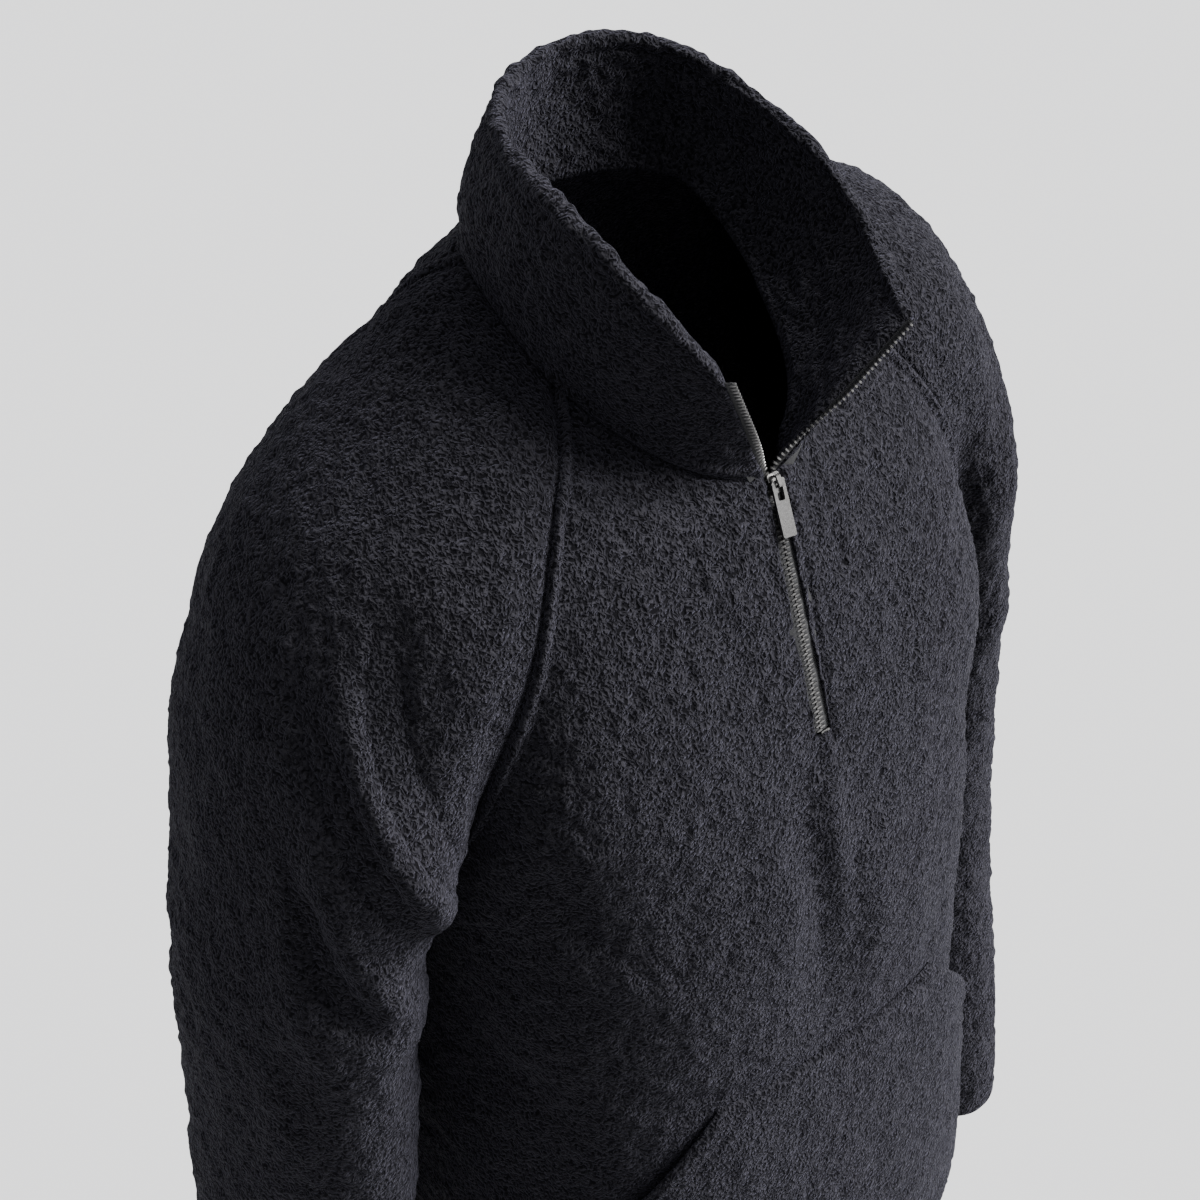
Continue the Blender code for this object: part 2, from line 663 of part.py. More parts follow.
def collar_section(rows, outward, column):
    """The closed outline of the collar's wall at one column: out, over the rim and in."""
    last = rows.shape[1] - 1
    from_zip = min(column, last - column) / COLLAR_THIN_COLUMNS
    thickness = WALL + (COLLAR_WALL - WALL) * min(from_zip, 1.0) ** 0.5
    outer = rows[:, column]
    inner = outer - outward[:, column] * thickness
    normal = outward[-1, column]
    radius = thickness / 2.0
    top = (outer[-1] + inner[-1]) / 2.0
    up = outer[-1] - outer[-2]
    up = up / np.linalg.norm(up)
    arch = [top + normal * radius * math.cos(a) + up * radius * math.sin(a)
            for a in np.linspace(0.0, math.pi, RIM_STEPS + 2)[1:-1]]
    return np.concatenate([outer, arch, inner[::-1]])


def make_collar(garment):
    rows, outward = collar_surface(garment)
    sections = [collar_section(rows, outward, c) for c in range(rows.shape[1])]
    around = len(sections[0])
    faces = []
    for c in range(len(sections) - 1):
        for k in range(around):
            n = (k + 1) % around
            faces.append((c * around + k, c * around + n, (c + 1) * around + n,
                          (c + 1) * around + k))
    last = (len(sections) - 1) * around
    for start in (0, last):
        for k in range(COLLAR_ROWS):
            faces.append((start + k, start + k + 1, start + around - 2 - k, start + around - 1 - k))
        top = [start + COLLAR_ROWS + k for k in range(RIM_STEPS + 2)]
        faces.append(tuple(top))
    add_object("collar", np.concatenate(sections), faces, pile_cloth("pile_collar"))
    return rows, outward


# ---------------------------------------------------------------- pocket

def pocket_half_cells(row):
    """How many cells the pocket reaches from the middle strip on one row of points."""
    return POCKET_TOP_CELLS + min(row - POCKET_FIRST_ROW, POCKET_SLANT_ROWS)


def pocket_faces(grid):
    """The front panel's cells under the pocket, with half cells along the slanted openings."""
    middle = COLUMNS_HALF_FRONT
    faces = []
    for r in range(POCKET_FIRST_ROW, POCKET_LAST_ROW):
        upper = pocket_half_cells(r)
        lower = pocket_half_cells(r + 1)
        for c in range(middle - upper, middle + 1 + upper):
            faces.append((grid[r, c], grid[r + 1, c], grid[r + 1, c + 1], grid[r, c + 1]))
        if lower > upper:
            left, right = middle - upper, middle + 1 + upper
            faces.append((grid[r, left], grid[r + 1, left - 1], grid[r + 1, left]))
            faces.append((grid[r, right], grid[r + 1, right], grid[r + 1, right + 1]))
    return faces


def make_pocket(garment):
    """The pouch: the panel's cells lifted off it, and standing out in the middle."""
    grid = garment.grids["front"]
    faces = pocket_faces(grid)
    middle = COLUMNS_HALF_FRONT + 0.5
    lift = np.zeros(len(garment.points))
    for r in range(POCKET_FIRST_ROW, POCKET_LAST_ROW + 1):
        level = (r - POCKET_FIRST_ROW) / (POCKET_LAST_ROW - POCKET_FIRST_ROW)
        slant = min((r - POCKET_FIRST_ROW) / POCKET_SLANT_ROWS, 1.0)
        middle_lift = POCKET_PUFF * math.sin(math.pi * level)
        mouth_lift = POCKET_MOUTH * math.sin(math.pi * slant)
        half = pocket_half_cells(r) + 0.5
        for c in range(int(middle - half), int(middle + half) + 1):
            side = min(abs(c - middle) / half, 1.0) ** 4
            lift[grid[r, c]] = middle_lift * (1.0 - side) + mouth_lift * side
    raised = POCKET_LIFT + POCKET_WALL + lift
    points = garment.points + garment.normals * raised[:, None]
    wall_from_surface("pouch_pocket", points, garment.normals, faces, POCKET_WALL,
                      pile_cloth("pile_pocket"))


# ---------------------------------------------------------------- zip

def zip_path(garment, collar_rows, outward, side):
    """Middle of one side of the zip: up the closed front, then along the collar's open edge."""
    grid = garment.grids["front"]
    middle = COLUMNS_HALF_FRONT
    sign = -1.0 if side == "right" else 1.0
    column = middle if side == "right" else middle + 1
    path, normals, across = [], [], []
    for r in range(ZIP_END_ROW, -1, -1):
        edge = garment.points[grid[r, column]]
        normal = garment.normals[grid[r, column]].copy()
        normal[0] = 0.0
        normal /= np.linalg.norm(normal)
        opened = 0.0009 if r == 0 else 0.0
        x = sign * (0.0003 + CHAIN_HALF_WIDTH / 2.0 + opened)
        path.append(np.array([x, edge[1], edge[2]]) - normal * CHAIN_THICKNESS / 2.0)
        normals.append(normal)
        across.append(np.array([sign, 0.0, 0.0]))
    path[0] = path[0] + (path[1] - path[0]) * 0.12
    edge_column = 0 if side == "right" else -1
    for k in range(1, COLLAR_ROWS + 1):
        edge = collar_rows[k, edge_column]
        along = edge - collar_rows[k - 1, edge_column]
        along /= np.linalg.norm(along)
        normal = outward[k, edge_column]
        inward = np.cross(normal, along)
        if np.dot(inward, collar_rows[k, 1 if side == "right" else -2] - edge) < 0:
            inward = -inward
        clear = ZIP_CLEARANCE + CHAIN_HALF_WIDTH / 2.0
        path.append(edge - inward * clear - normal * (CHAIN_THICKNESS / 2.0 + SEAM_GAP))
        normals.append(normal)
        across.append(inward)
    return np.array(path), np.array(normals), np.array(across)


def strip(name, path, normals, across, surface):
    """A flat strip along a path, closed at both ends."""
    corners = []
    for p, n, a in zip(path, normals, across):
        a = a - n * np.dot(a, n)
        a = a / np.linalg.norm(a) * CHAIN_HALF_WIDTH / 2.0
        h = n * CHAIN_THICKNESS / 2.0
        corners += [p - a - h, p + a - h, p + a + h, p - a + h]
    faces = []
    for r in range(len(path) - 1):
        for k in range(4):
            n = (k + 1) % 4
            faces.append((4 * r + k, 4 * r + n, 4 * r + 4 + n, 4 * r + 4 + k))
    end = 4 * (len(path) - 1)
    faces += [(0, 1, 2, 3), (end, end + 1, end + 2, end + 3)]
    return add_object(name, corners, faces, surface)


class ZipFrame:
    """Directions at the slider: across the zip, down along it, and out of the cloth."""

    def __init__(self, garment):
        grid = garment.grids["front"]
        middle = COLUMNS_HALF_FRONT
        upper = garment.points[grid[0, middle:middle + 2]].mean(axis=0)
        lower = garment.points[grid[1, middle:middle + 2]].mean(axis=0)
        self.across = np.array([1.0, 0.0, 0.0])
        self.down = (lower - upper) / np.linalg.norm(lower - upper)
        self.out = np.cross(self.down, self.across)
        if self.out[1] > 0:
            self.out = -self.out
        self.top = upper

    def at(self, across, along, height):
        return self.top + self.across * across + self.down * along + self.out * height


def prism(frame, outline, low, high):
    """Points and faces of an outline of (across, along) pairs between two heights."""
    points = [frame.at(x, a, low) for x, a in outline] + [frame.at(x, a, high) for x, a in outline]
    count = len(outline)
    faces = [tuple(range(count)), tuple(range(count, 2 * count))]
    faces += [(k, (k + 1) % count, (k + 1) % count + count, k + count) for k in range(count)]
    return points, faces


def rounded(half_width, start, end, radius, steps=4):
    """A rectangle with round corners, as (across, along) pairs."""
    corners = ((half_width, start, -90), (half_width, end, 0), (-half_width, end, 90),
               (-half_width, start, 180))
    outline = []
    for x, a, first in corners:
        cx = x - math.copysign(radius, x)
        ca = a + radius if a == start else a - radius
        for k in range(steps + 1):
            angle = math.radians(first + 90.0 * k / steps)
            outline.append((cx + radius * math.cos(angle), ca + radius * math.sin(angle)))
    return outline


def join_shape(target, name, points, faces, operation):
    """Adds or cuts a helper shape, which itself stays out of the model."""
    helper = add_object(name, points, faces, target.data.materials[0])
    helper.hide_render = True
    helper.display_type = "WIRE"
    modifier = target.modifiers.new(name, "BOOLEAN")
    modifier.operation = operation
    modifier.solver = "EXACT"
    modifier.object = helper


def bridge_shape(frame, base):
    """The bridge's arch, seen from the side: two legs and a bar, as wide as the bridge."""
    top = base + BRIDGE_HEIGHT
    under = top - BRIDGE_BAR
    low = base - OVERLAP
    chamfer = BRIDGE_BAR * 0.6
    side = [(BRIDGE_START, low), (BRIDGE_START, top - chamfer), (BRIDGE_START + chamfer, top),
            (BRIDGE_END - chamfer, top), (BRIDGE_END, top - chamfer), (BRIDGE_END, low),
            (BRIDGE_END - BRIDGE_BAR, low), (BRIDGE_END - BRIDGE_BAR, under),
            (BRIDGE_START + BRIDGE_BAR, under), (BRIDGE_START + BRIDGE_BAR, low)]
    half = BRIDGE_WIDTH / 2.0
    points = [frame.at(x, a, h) for x in (-half, half) for a, h in side]
    count = len(side)
    faces = [(0, 1, 8, 9), (1, 2, 3, 4, 7, 8), (4, 5, 6, 7)]
    faces += [tuple(k + count for k in face) for face in faces]
    faces += [(k, (k + 1) % count, (k + 1) % count + count, k + count) for k in range(count)]
    return points, faces


def make_slider(frame):
    """The slider: a plate before the chain and one behind, a post between, and the bridge."""
    half = SLIDER_WIDTH / 2.0
    low = SLIDER_CLEARANCE
    high = low + SLIDER_PLATE
    plate = rounded(half, 0.0, SLIDER_LENGTH, 0.0018)
    slider = add_object("slider", *prism(frame, plate, low, high), metal("zip_metal_slider"))
    behind = -(CHAIN_THICKNESS + SLIDER_CLEARANCE)
    back = rounded(half, 0.0, SLIDER_LENGTH, 0.0018)
    join_shape(slider, "slider_back", *prism(frame, back, behind - SLIDER_PLATE, behind), "UNION")
    post = [(-POST_WIDTH / 2.0, 0.0002), (POST_WIDTH / 2.0, 0.0002),
            (POST_WIDTH / 2.0, POST_LENGTH), (-POST_WIDTH / 2.0, POST_LENGTH)]
    join_shape(slider, "slider_post", *prism(frame, post, behind - OVERLAP, low + OVERLAP), "UNION")
    join_shape(slider, "slider_bridge", *bridge_shape(frame, high), "UNION")
    return high


def make_tab(frame, plate_top):
    """The pull tab, hanging from its end bar, with its origin on the hinge."""
    hinge = frame.at(0.0, HINGE_ALONG, plate_top + HINGE_HEIGHT)
    lean = math.radians(TAB_LEAN)
    turned = ZipFrame.__new__(ZipFrame)
    turned.across = frame.across
    turned.down = frame.down * math.cos(lean) - frame.out * math.sin(lean)
    turned.out = frame.out * math.cos(lean) + frame.down * math.sin(lean)
    turned.top = hinge
    bar = TAB_THICKNESS
    half = TAB_THICKNESS / 2.0
    outline = rounded(TAB_WIDTH / 2.0, -bar / 2.0, TAB_LENGTH - bar / 2.0, 0.0012)
    tab = add_object("pull_tab", *prism(turned, outline, -half, half), metal("zip_metal_tab"),
                     origin=hinge)
    slot = rounded(TAB_SLOT_WIDTH / 2.0, bar / 2.0, bar / 2.0 + TAB_SLOT_LENGTH, 0.0010)
    join_shape(tab, "tab_slot", *prism(turned, slot, -2.0 * half, 2.0 * half), "DIFFERENCE")
    return hinge


def make_stop(garment):
    """The zip's lower stop, in the bottom of its slot."""
    path, normals, _ = zip_path(garment, *collar_surface(garment), "left")
    down = path[0] - path[1]
    down = down / np.linalg.norm(down)
    start = path[0] + down * SEAM_GAP
    half = CHAIN_HALF_WIDTH * 0.95
    corners = []
    for along in (0.0, STOP_LENGTH):
        for x, h in ((-half, -1), (half, -1), (half, 1), (-half, 1)):
            point = start + down * along + normals[0] * h * CHAIN_THICKNESS / 2.0
            corners.append(np.array([x, point[1], point[2]]))
    faces = [(0, 1, 2, 3), (4, 5, 6, 7)]
    faces += [(k, (k + 1) % 4, (k + 1) % 4 + 4, k + 4) for k in range(4)]
    add_object("zip_stop", corners, faces, metal("zip_metal_stop"))


def main():
    for old in list(bpy.data.objects):
        bpy.data.objects.remove(old, do_unlink=True)
    garment = build_surface()
    soften(garment)
    press_folds(garment)
    soften(garment, rounds=3)
    garment.normals = garment_normals(garment)
    open_zip_slot(garment)
    make_panels(garment)
    collar_rows, outward = make_collar(garment)
    make_pocket(garment)
    for side in ("right", "left"):
        path, normals, across = zip_path(garment, collar_rows, outward, side)
        strip("zip_" + side, path, normals, across, metal("zip_metal_" + side))
    make_stop(garment)
    frame = ZipFrame(garment)
    plate_top = make_slider(frame)
    make_tab(frame, plate_top)


if __name__ == "__main__":
    main()
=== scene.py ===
"""The looks of a half-zip pile pullover: cloth, seams, collar, pocket and a metal zip.

Units are metres, +Z is up and the front faces -Y, so the wearer's left is +X.
The cloth is laid out from the same tables as the part's own surface, worked out more finely,
and then gets its creases, seams and pile.
"""

import itertools
import math

import bmesh
import bpy
import numpy as np
from bpy.props import FloatProperty, FloatVectorProperty, PointerProperty
from mathutils import Matrix, Vector


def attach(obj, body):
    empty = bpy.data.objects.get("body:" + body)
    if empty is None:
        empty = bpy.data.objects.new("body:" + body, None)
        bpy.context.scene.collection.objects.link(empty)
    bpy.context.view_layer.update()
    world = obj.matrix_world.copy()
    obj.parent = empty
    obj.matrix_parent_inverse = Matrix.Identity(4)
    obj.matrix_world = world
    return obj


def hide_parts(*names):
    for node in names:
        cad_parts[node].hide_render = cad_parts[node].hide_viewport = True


bl_info = {
    "name": "Half-Zip Pile Pullover",
    "version": (1, 0, 0),
    "blender": (4, 5, 0),
    "location": "3D View > Sidebar > Pullover",
    "description": "Makes a half-zip pile pullover with a standing collar and a pouch pocket",
    "category": "Add Mesh",
}

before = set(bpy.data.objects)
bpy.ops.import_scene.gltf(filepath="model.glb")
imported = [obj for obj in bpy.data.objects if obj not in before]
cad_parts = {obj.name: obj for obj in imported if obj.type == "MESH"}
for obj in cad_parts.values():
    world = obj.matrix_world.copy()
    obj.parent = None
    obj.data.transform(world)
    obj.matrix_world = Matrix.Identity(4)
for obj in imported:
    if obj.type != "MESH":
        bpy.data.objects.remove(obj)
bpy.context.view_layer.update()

# ---------------------------------------------------------------- sizes

TINY = 1e-12                 # the least length that a direction is worked out from
WALL = 0.0040                # knitted pile cloth with its short pile
COLLAR_WALL = 0.0095         # two layers of the cloth, turned over at the top
SEAM_GAP = 0.0003            # between two sewn pieces
POCKET_LIFT = 0.0007         # pocket's back above the front panel
ZIP_SLOT_HALF = 0.0048       # half the opening that holds the zip
CHAIN_HALF_WIDTH = 0.0031    # one side of the zip: its teeth and the tape edge under them
CHAIN_THICKNESS = 0.0024
CHAIN_APART = 0.0003         # from the middle of the closed zip to the inner end of a side's teeth
CHAIN_OPENED = 0.0009        # how much wider it is at the neck seam, where it opens
CHAIN_END_SHARE = 0.12       # how much of its last row's height the chain leaves to the stop
ZIP_CLEARANCE = 0.0015       # between the open zip and the end of the collar's thick wall

COLUMNS_HALF_FRONT = 11      # grid columns from the zip to a side or raglan seam
COLUMNS_BACK = 22
COLUMNS_SLEEVE = 22
ROWS_YOKE = 13               # neck seam to armpit
ROWS_BODY = 17               # armpit to hem
ROWS_ARM = 21                # armpit to cuff
ZIP_END_ROW = 10             # the yoke row at the zip's lower end

# Raglan rows of the left shoulder, from the neck seam to the armpit. The crest is the outermost
# point of a row. The root lies between its front seam and back seam. Turn is half the angle that
# the row goes round, so 180 closes it into a sleeve. Drop is how far the front seam lies below
# the root, as an angle.
SHOULDER_COLUMNS = ("crest_x", "crest_y", "crest_z", "root_x", "root_y", "root_z",
                    "turn", "front", "back", "drop")
SHOULDER_ROWS = (
    (0.081, 0.010, 0.040, 0.0770, 0.008, 0.036, 60.0, 0.0480, 0.0450, 32.0),
    (0.110, 0.012, 0.045, 0.0960, 0.008, 0.025, 75.0, 0.0700, 0.0575, 21.0),
    (0.143, 0.014, 0.031, 0.1140, 0.007, 0.002, 85.0, 0.0800, 0.0650, 11.0),
    (0.177, 0.015, 0.010, 0.1310, 0.006, -0.028, 90.0, 0.0920, 0.0800, 8.0),
    (0.207, 0.014, -0.013, 0.1460, 0.004, -0.063, 95.0, 0.1000, 0.0900, 4.0),
    (0.232, 0.012, -0.045, 0.1610, 0.003, -0.103, 103.0, 0.1030, 0.0940, 2.0),
    (0.250, 0.010, -0.082, 0.1740, 0.002, -0.145, 118.0, 0.1020, 0.0930, 0.0),
    (0.264, 0.008, -0.124, 0.1820, 0.001, -0.187, 138.0, 0.1100, 0.0900, 0.0),
    (0.274, 0.006, -0.172, 0.1865, 0.001, -0.223, 153.0, 0.1090, 0.0860, 0.0),
    (0.282, 0.005, -0.226, 0.1890, 0.001, -0.244, 180.0, 0.1020, 0.0840, 0.0),
)

# The middle of the front and of the back on the same rows.
MIDDLE_COLUMNS = ("front_y", "front_z", "back_y", "back_z", "front_turn", "back_turn", "square")
MIDDLE_ROWS = (
    (-0.109, -0.034, 0.082, 0.062, 64.0, 70.0, 1.9),
    (-0.119, -0.050, 0.094, 0.045, 68.0, 72.0, 2.0),
    (-0.129, -0.070, 0.104, 0.022, 71.0, 74.0, 2.1),
    (-0.137, -0.092, 0.112, -0.007, 74.0, 76.0, 2.2),
    (-0.143, -0.114, 0.118, -0.040, 77.0, 78.0, 2.3),
    (-0.149, -0.136, 0.122, -0.076, 80.0, 80.0, 2.5),
    (-0.154, -0.157, 0.125, -0.114, 83.0, 83.0, 2.8),
    (-0.159, -0.178, 0.126, -0.154, 86.0, 86.0, 3.0),
    (-0.165, -0.208, 0.126, -0.198, 88.0, 88.0, 3.0),
    (-0.171, -0.244, 0.125, -0.244, 90.0, 90.0, 2.9),
)

# The body below the armpits.
BODY_COLUMNS = ("height", "half_width", "front", "back", "middle_y", "square")
BODY_ROWS = (
    (-0.244, 0.1890, 0.172, 0.124, 0.001, 2.9),
    (-0.285, 0.1860, 0.179, 0.120, 0.000, 2.8),
    (-0.340, 0.1850, 0.182, 0.117, 0.000, 2.8),
    (-0.400, 0.1850, 0.182, 0.115, 0.000, 2.8),
    (-0.480, 0.1870, 0.184, 0.118, 0.000, 2.8),
    (-0.560, 0.1900, 0.187, 0.124, 0.000, 2.8),
    (-0.640, 0.1920, 0.187, 0.128, 0.000, 2.8),
    (-0.680, 0.1890, 0.182, 0.127, 0.000, 2.8),
)

# Each sleeve below the armpit, as rings. The right arm hangs a little wider and further back.
ARM_COLUMNS = ("height", "middle_x", "middle_y", "half_width", "front", "back", "slant")
ARM_ROWS = {
    "left": (
        (-0.244, 0.2365, 0.001, 0.0475, 0.092, 0.084, 0.0),
        (-0.280, 0.2420, 0.004, 0.0500, 0.089, 0.083, 0.0),
        (-0.330, 0.2450, 0.006, 0.0520, 0.084, 0.081, 2.0),
        (-0.390, 0.2480, 0.005, 0.0525, 0.080, 0.078, 5.0),
        (-0.450, 0.2510, -0.002, 0.0520, 0.074, 0.074, 9.0),
        (-0.520, 0.2540, -0.014, 0.0500, 0.069, 0.069, 11.0),
        (-0.590, 0.2550, -0.028, 0.0470, 0.063, 0.063, 12.0),
        (-0.660, 0.2540, -0.044, 0.0440, 0.057, 0.057, 12.0),
        (-0.690, 0.2530, -0.051, 0.0420, 0.054, 0.054, 12.0),
    ),
    "right": (
        (-0.244, 0.2365, 0.001, 0.0475, 0.102, 0.084, 0.0),
        (-0.280, 0.2430, 0.000, 0.0510, 0.097, 0.084, 0.0),
        (-0.330, 0.2470, 0.000, 0.0535, 0.092, 0.082, 0.0),
        (-0.390, 0.2520, 0.000, 0.0540, 0.088, 0.079, 0.0),
        (-0.450, 0.2570, 0.000, 0.0530, 0.084, 0.076, 2.0),
        (-0.520, 0.2620, -0.002, 0.0510, 0.075, 0.070, 4.0),
        (-0.590, 0.2660, -0.007, 0.0480, 0.067, 0.064, 6.0),
        (-0.660, 0.2680, -0.014, 0.0450, 0.060, 0.058, 7.0),
        (-0.690, 0.2680, -0.018, 0.0430, 0.056, 0.055, 7.0),
    ),
}
SHOULDER_LIFT = {"left": 0.030, "right": -0.004}    # worn a little uneven
SHOULDER_OUT = {"left": -0.008, "right": 0.009}
SHOULDER_FRONT = {"left": 0.90, "right": 1.00}      # how full the front of the sleeve's top is

# Rim of the open collar, from the wearer's right corner round the back to the left corner.
RIM_COLUMNS = ("share", "x", "y", "z", "bulge")
RIM_ROWS = (
    (0.00, -0.0460, -0.1190, 0.044, 0.000),
    (0.09, -0.0700, -0.0900, 0.082, 0.003),
    (0.19, -0.0820, -0.0500, 0.110, 0.005),
    (0.29, -0.0800, -0.0080, 0.124, 0.006),
    (0.38, -0.0620, 0.0380, 0.129, 0.006),
    (0.47, -0.0250, 0.0700, 0.133, 0.005),
    (0.55, 0.0250, 0.0800, 0.134, 0.005),
    (0.63, 0.0680, 0.0620, 0.129, 0.006),
    (0.72, 0.0970, 0.0180, 0.109, 0.007),
    (0.81, 0.1080, -0.0280, 0.084, 0.006),
    (0.91, 0.1050, -0.0780, 0.050, 0.004),
    (1.00, 0.0830, -0.1260, 0.033, 0.000),
)
COLLAR_LEVELS = (0.0, 0.10, 0.28, 0.50, 0.75, 1.0)    # neck seam to rim, on each face
COLLAR_ROWS = len(COLLAR_LEVELS) - 1
COLLAR_THIN_COLUMNS = 3      # columns over which its wall thins to one layer at the zip
ZIP_REACH = 0.05             # share of the neck seam over which the collar's foot stays flat

# Folds pressed into each piece along lines: troughs are negative, ridges positive.
# Round runs 0 to 1 over the piece's columns and down runs 0 to 1 from its top to its bottom.
FOLD_COLUMNS = ("round_a", "down_a", "round_b", "down_b", "depth", "half_width")
FOLD_ROWS = {
    "sleeve_right": (
        (0.24, 0.20, 0.12, 0.30, -0.008, 0.025),
        (0.20, 0.31, 0.12, 0.38, 0.009, 0.028),
        (0.34, 0.36, 0.16, 0.44, -0.007, 0.025),
        (0.24, 0.47, 0.16, 0.50, 0.005, 0.026),
        (0.28, 0.52, 0.14, 0.56, -0.007, 0.022),
        (0.90, 0.41, 0.70, 0.54, -0.007, 0.028),
        (0.92, 0.57, 0.74, 0.68, -0.007, 0.024),
    ),
    "sleeve_left": (
        (0.24, 0.34, 0.10, 0.48, -0.008, 0.026),
        (0.34, 0.46, 0.12, 0.60, -0.008, 0.025),
        (0.30, 0.64, 0.12, 0.73, -0.007, 0.022),
        (0.92, 0.40, 0.72, 0.54, -0.007, 0.028),
        (0.90, 0.58, 0.72, 0.70, -0.007, 0.024),
    ),
    "front": (
        (0.57, 0.45, 0.57, 0.68, 0.006, 0.017),
        (0.50, 0.47, 0.50, 0.64, -0.005, 0.020),
        (0.04, 0.52, 0.20, 0.74, -0.008, 0.026),
        (0.97, 0.50, 0.80, 0.68, -0.008, 0.026),
        (0.02, 0.74, 0.12, 0.96, -0.006, 0.024),
    ),
    "back": (
        (0.04, 0.48, 0.24, 0.66, -0.009, 0.026),
        (0.96, 0.48, 0.74, 0.64, -0.009, 0.026),
        (0.34, 0.68, 0.40, 0.98, -0.007, 0.028),
        (0.66, 0.64, 0.60, 0.96, -0.008, 0.030),
    ),
}

# Pouch pocket, made from the front panel's own cells and moved out. Its side openings slant: each
# of the first rows is one cell wider on each side than the row above it.
POCKET_WALL = 0.0040
POCKET_FIRST_ROW = 20
POCKET_LAST_ROW = 29
POCKET_TOP_CELLS = 3         # cells from the middle strip to the top corner
POCKET_SLANT_ROWS = 4
POCKET_PUFF = 0.010          # how far the pouch stands out in its middle
POCKET_MOUTH = 0.007         # how far its slanted openings stand out
POCKET_COLUMNS = 15          # columns of knots from one side of the pouch to the other

# Where one shoulder's lift and its widening set in, and over what width they grow to the full:
# across the body, and up the arm.
LIFT_ACROSS = (0.11, 0.10)
LIFT_UP = (-0.24, 0.12)
WIDEN_ACROSS = (0.18, 0.06)
WIDEN_UP = (-0.42, 0.16)

ARC_SAMPLES = 90             # places worked out along half a row before it is spread evenly
RING_SAMPLES = 160           # the same along a whole row of a sleeve
SOFTEN_ROUNDS = 3
SOFTEN_WEIGHTS = (0.50, -0.52)    # towards the neighbours' mean, then back out
FOLD_SAMPLES = 24            # places worked out along a fold
FOLD_TAPER = 0.12            # how far a fold's ends are from nothing, as an angle


# ---------------------------------------------------------------- small tools

def table(columns, rows):
    """A table as arrays by column name."""
    return {name: np.array([row[i] for row in rows]) for i, name in enumerate(columns)}


def smooth_read(keys, values, wanted):
    """Values read from a smooth curve (Catmull-Rom) through a table's rows."""
    keys = np.asarray(keys, float)
    values = np.asarray(values, float)
    slopes = np.gradient(values, keys, axis=0)
    at = np.clip(np.searchsorted(keys, wanted, side="right") - 1, 0, len(keys) - 2)
    step = keys[at + 1] - keys[at]
    t = (wanted - keys[at]) / step
    h00 = 2 * t**3 - 3 * t**2 + 1
    h10 = t**3 - 2 * t**2 + t
    h01 = -2 * t**3 + 3 * t**2
    h11 = t**3 - t**2
    return (h00 * values[at] + h10 * step * slopes[at]
            + h01 * values[at + 1] + h11 * step * slopes[at + 1])


def read_rows(columns, rows, count):
    """A table read at evenly spaced places from its first row to its last."""
    data = table(columns, rows)
    keys = np.arange(len(rows))
    wanted = np.linspace(0, len(rows) - 1, count)
    return {name: smooth_read(keys, data[name], wanted) for name in columns}


def spread(points, count):
    """Points along a polyline, evenly spaced by length."""
    length = running_length(points)
    wanted = np.linspace(0.0, length[-1], count)
    return np.stack([np.interp(wanted, length, points[:, k]) for k in range(3)], axis=1)


def power(value, exponent):
    """A power that keeps its value's sign."""
    return np.sign(value) * np.abs(value) ** exponent


def unit(vectors):
    """Vectors made 1 long, along the last axis."""
    return vectors / np.maximum(np.linalg.norm(vectors, axis=-1, keepdims=True), TINY)


def running_length(points):
    """The length along a line of points, from its first point to each of them."""
    steps = np.linalg.norm(np.diff(points, axis=0), axis=1)
    return np.concatenate([[0.0], np.cumsum(steps)])


def ramp(values, start, width):
    """A straight rise from 0 at the start to 1 over a width."""
    return np.clip((values - start) / width, 0.0, 1.0)


# ---------------------------------------------------------------- the rows of the garment

def half_arc(seam, middle, turn, square, inner_x, count):
    """One side of a front or back row, from inner_x near the middle out to the seam."""
    end = math.radians(turn)
    angle = np.linspace(0.0, end, ARC_SAMPLES)
    reach = power(np.sin(angle), 2.0 / square) / math.sin(end) ** (2.0 / square)
    end_bow = max(math.cos(end), 0.0) ** (2.0 / square)
    bow = (power(np.cos(angle), 2.0 / square) - end_bow) / (1.0 - end_bow)
    points = np.stack([
        seam[0] * reach,
        seam[1] + (middle[1] - seam[1]) * bow,
        seam[2] + (middle[2] - seam[2]) * bow,
    ], axis=1)
    start = np.array([np.interp(inner_x, points[:, 0], points[:, k]) for k in range(3)])
    points = np.concatenate([[start], points[points[:, 0] > inner_x]])
    return spread(points, count)


def shoulder_arc(row, count):
    """A raglan row of the left sleeve, from its front seam over the crest to its back seam."""
    turn = math.radians(min(row["turn"], 179.999))
    angle = np.linspace(turn, -turn, RING_SAMPLES)
    crest = np.array([row["crest_x"], row["crest_y"], row["crest_z"]])
    root = np.array([row["root_x"], row["root_y"], row["root_z"]])
    drop = math.radians(row["drop"])
    forward = np.array([0.0, -math.cos(drop), -math.sin(drop)])
    out = (np.cos(angle) - math.cos(turn)) / (1.0 - math.cos(turn))
    across = np.where(angle > 0, row["front"], row["back"]) * np.sin(angle)
    points = root + out[:, None] * (crest - root) + across[:, None] * forward
    return spread(points, count)


def arm_ring(row, count):
    """A ring of the left sleeve, from its inner side round the front, the outside and the back."""
    angle = np.linspace(math.pi, -math.pi, RING_SAMPLES)
    across = np.where(angle > 0, row["front"], row["back"]) * np.sin(angle)
    slant = math.radians(row["slant"])
    points = np.stack([
        row["middle_x"] + row["half_width"] * np.cos(angle),
        row["middle_y"] - across * math.cos(slant),
        row["height"] - across * math.sin(slant),
    ], axis=1)
    return spread(points, count)


def row_at(rows, index):
    """One row of a table that was read, by column name."""
    return {name: values[index] for name, values in rows.items()}


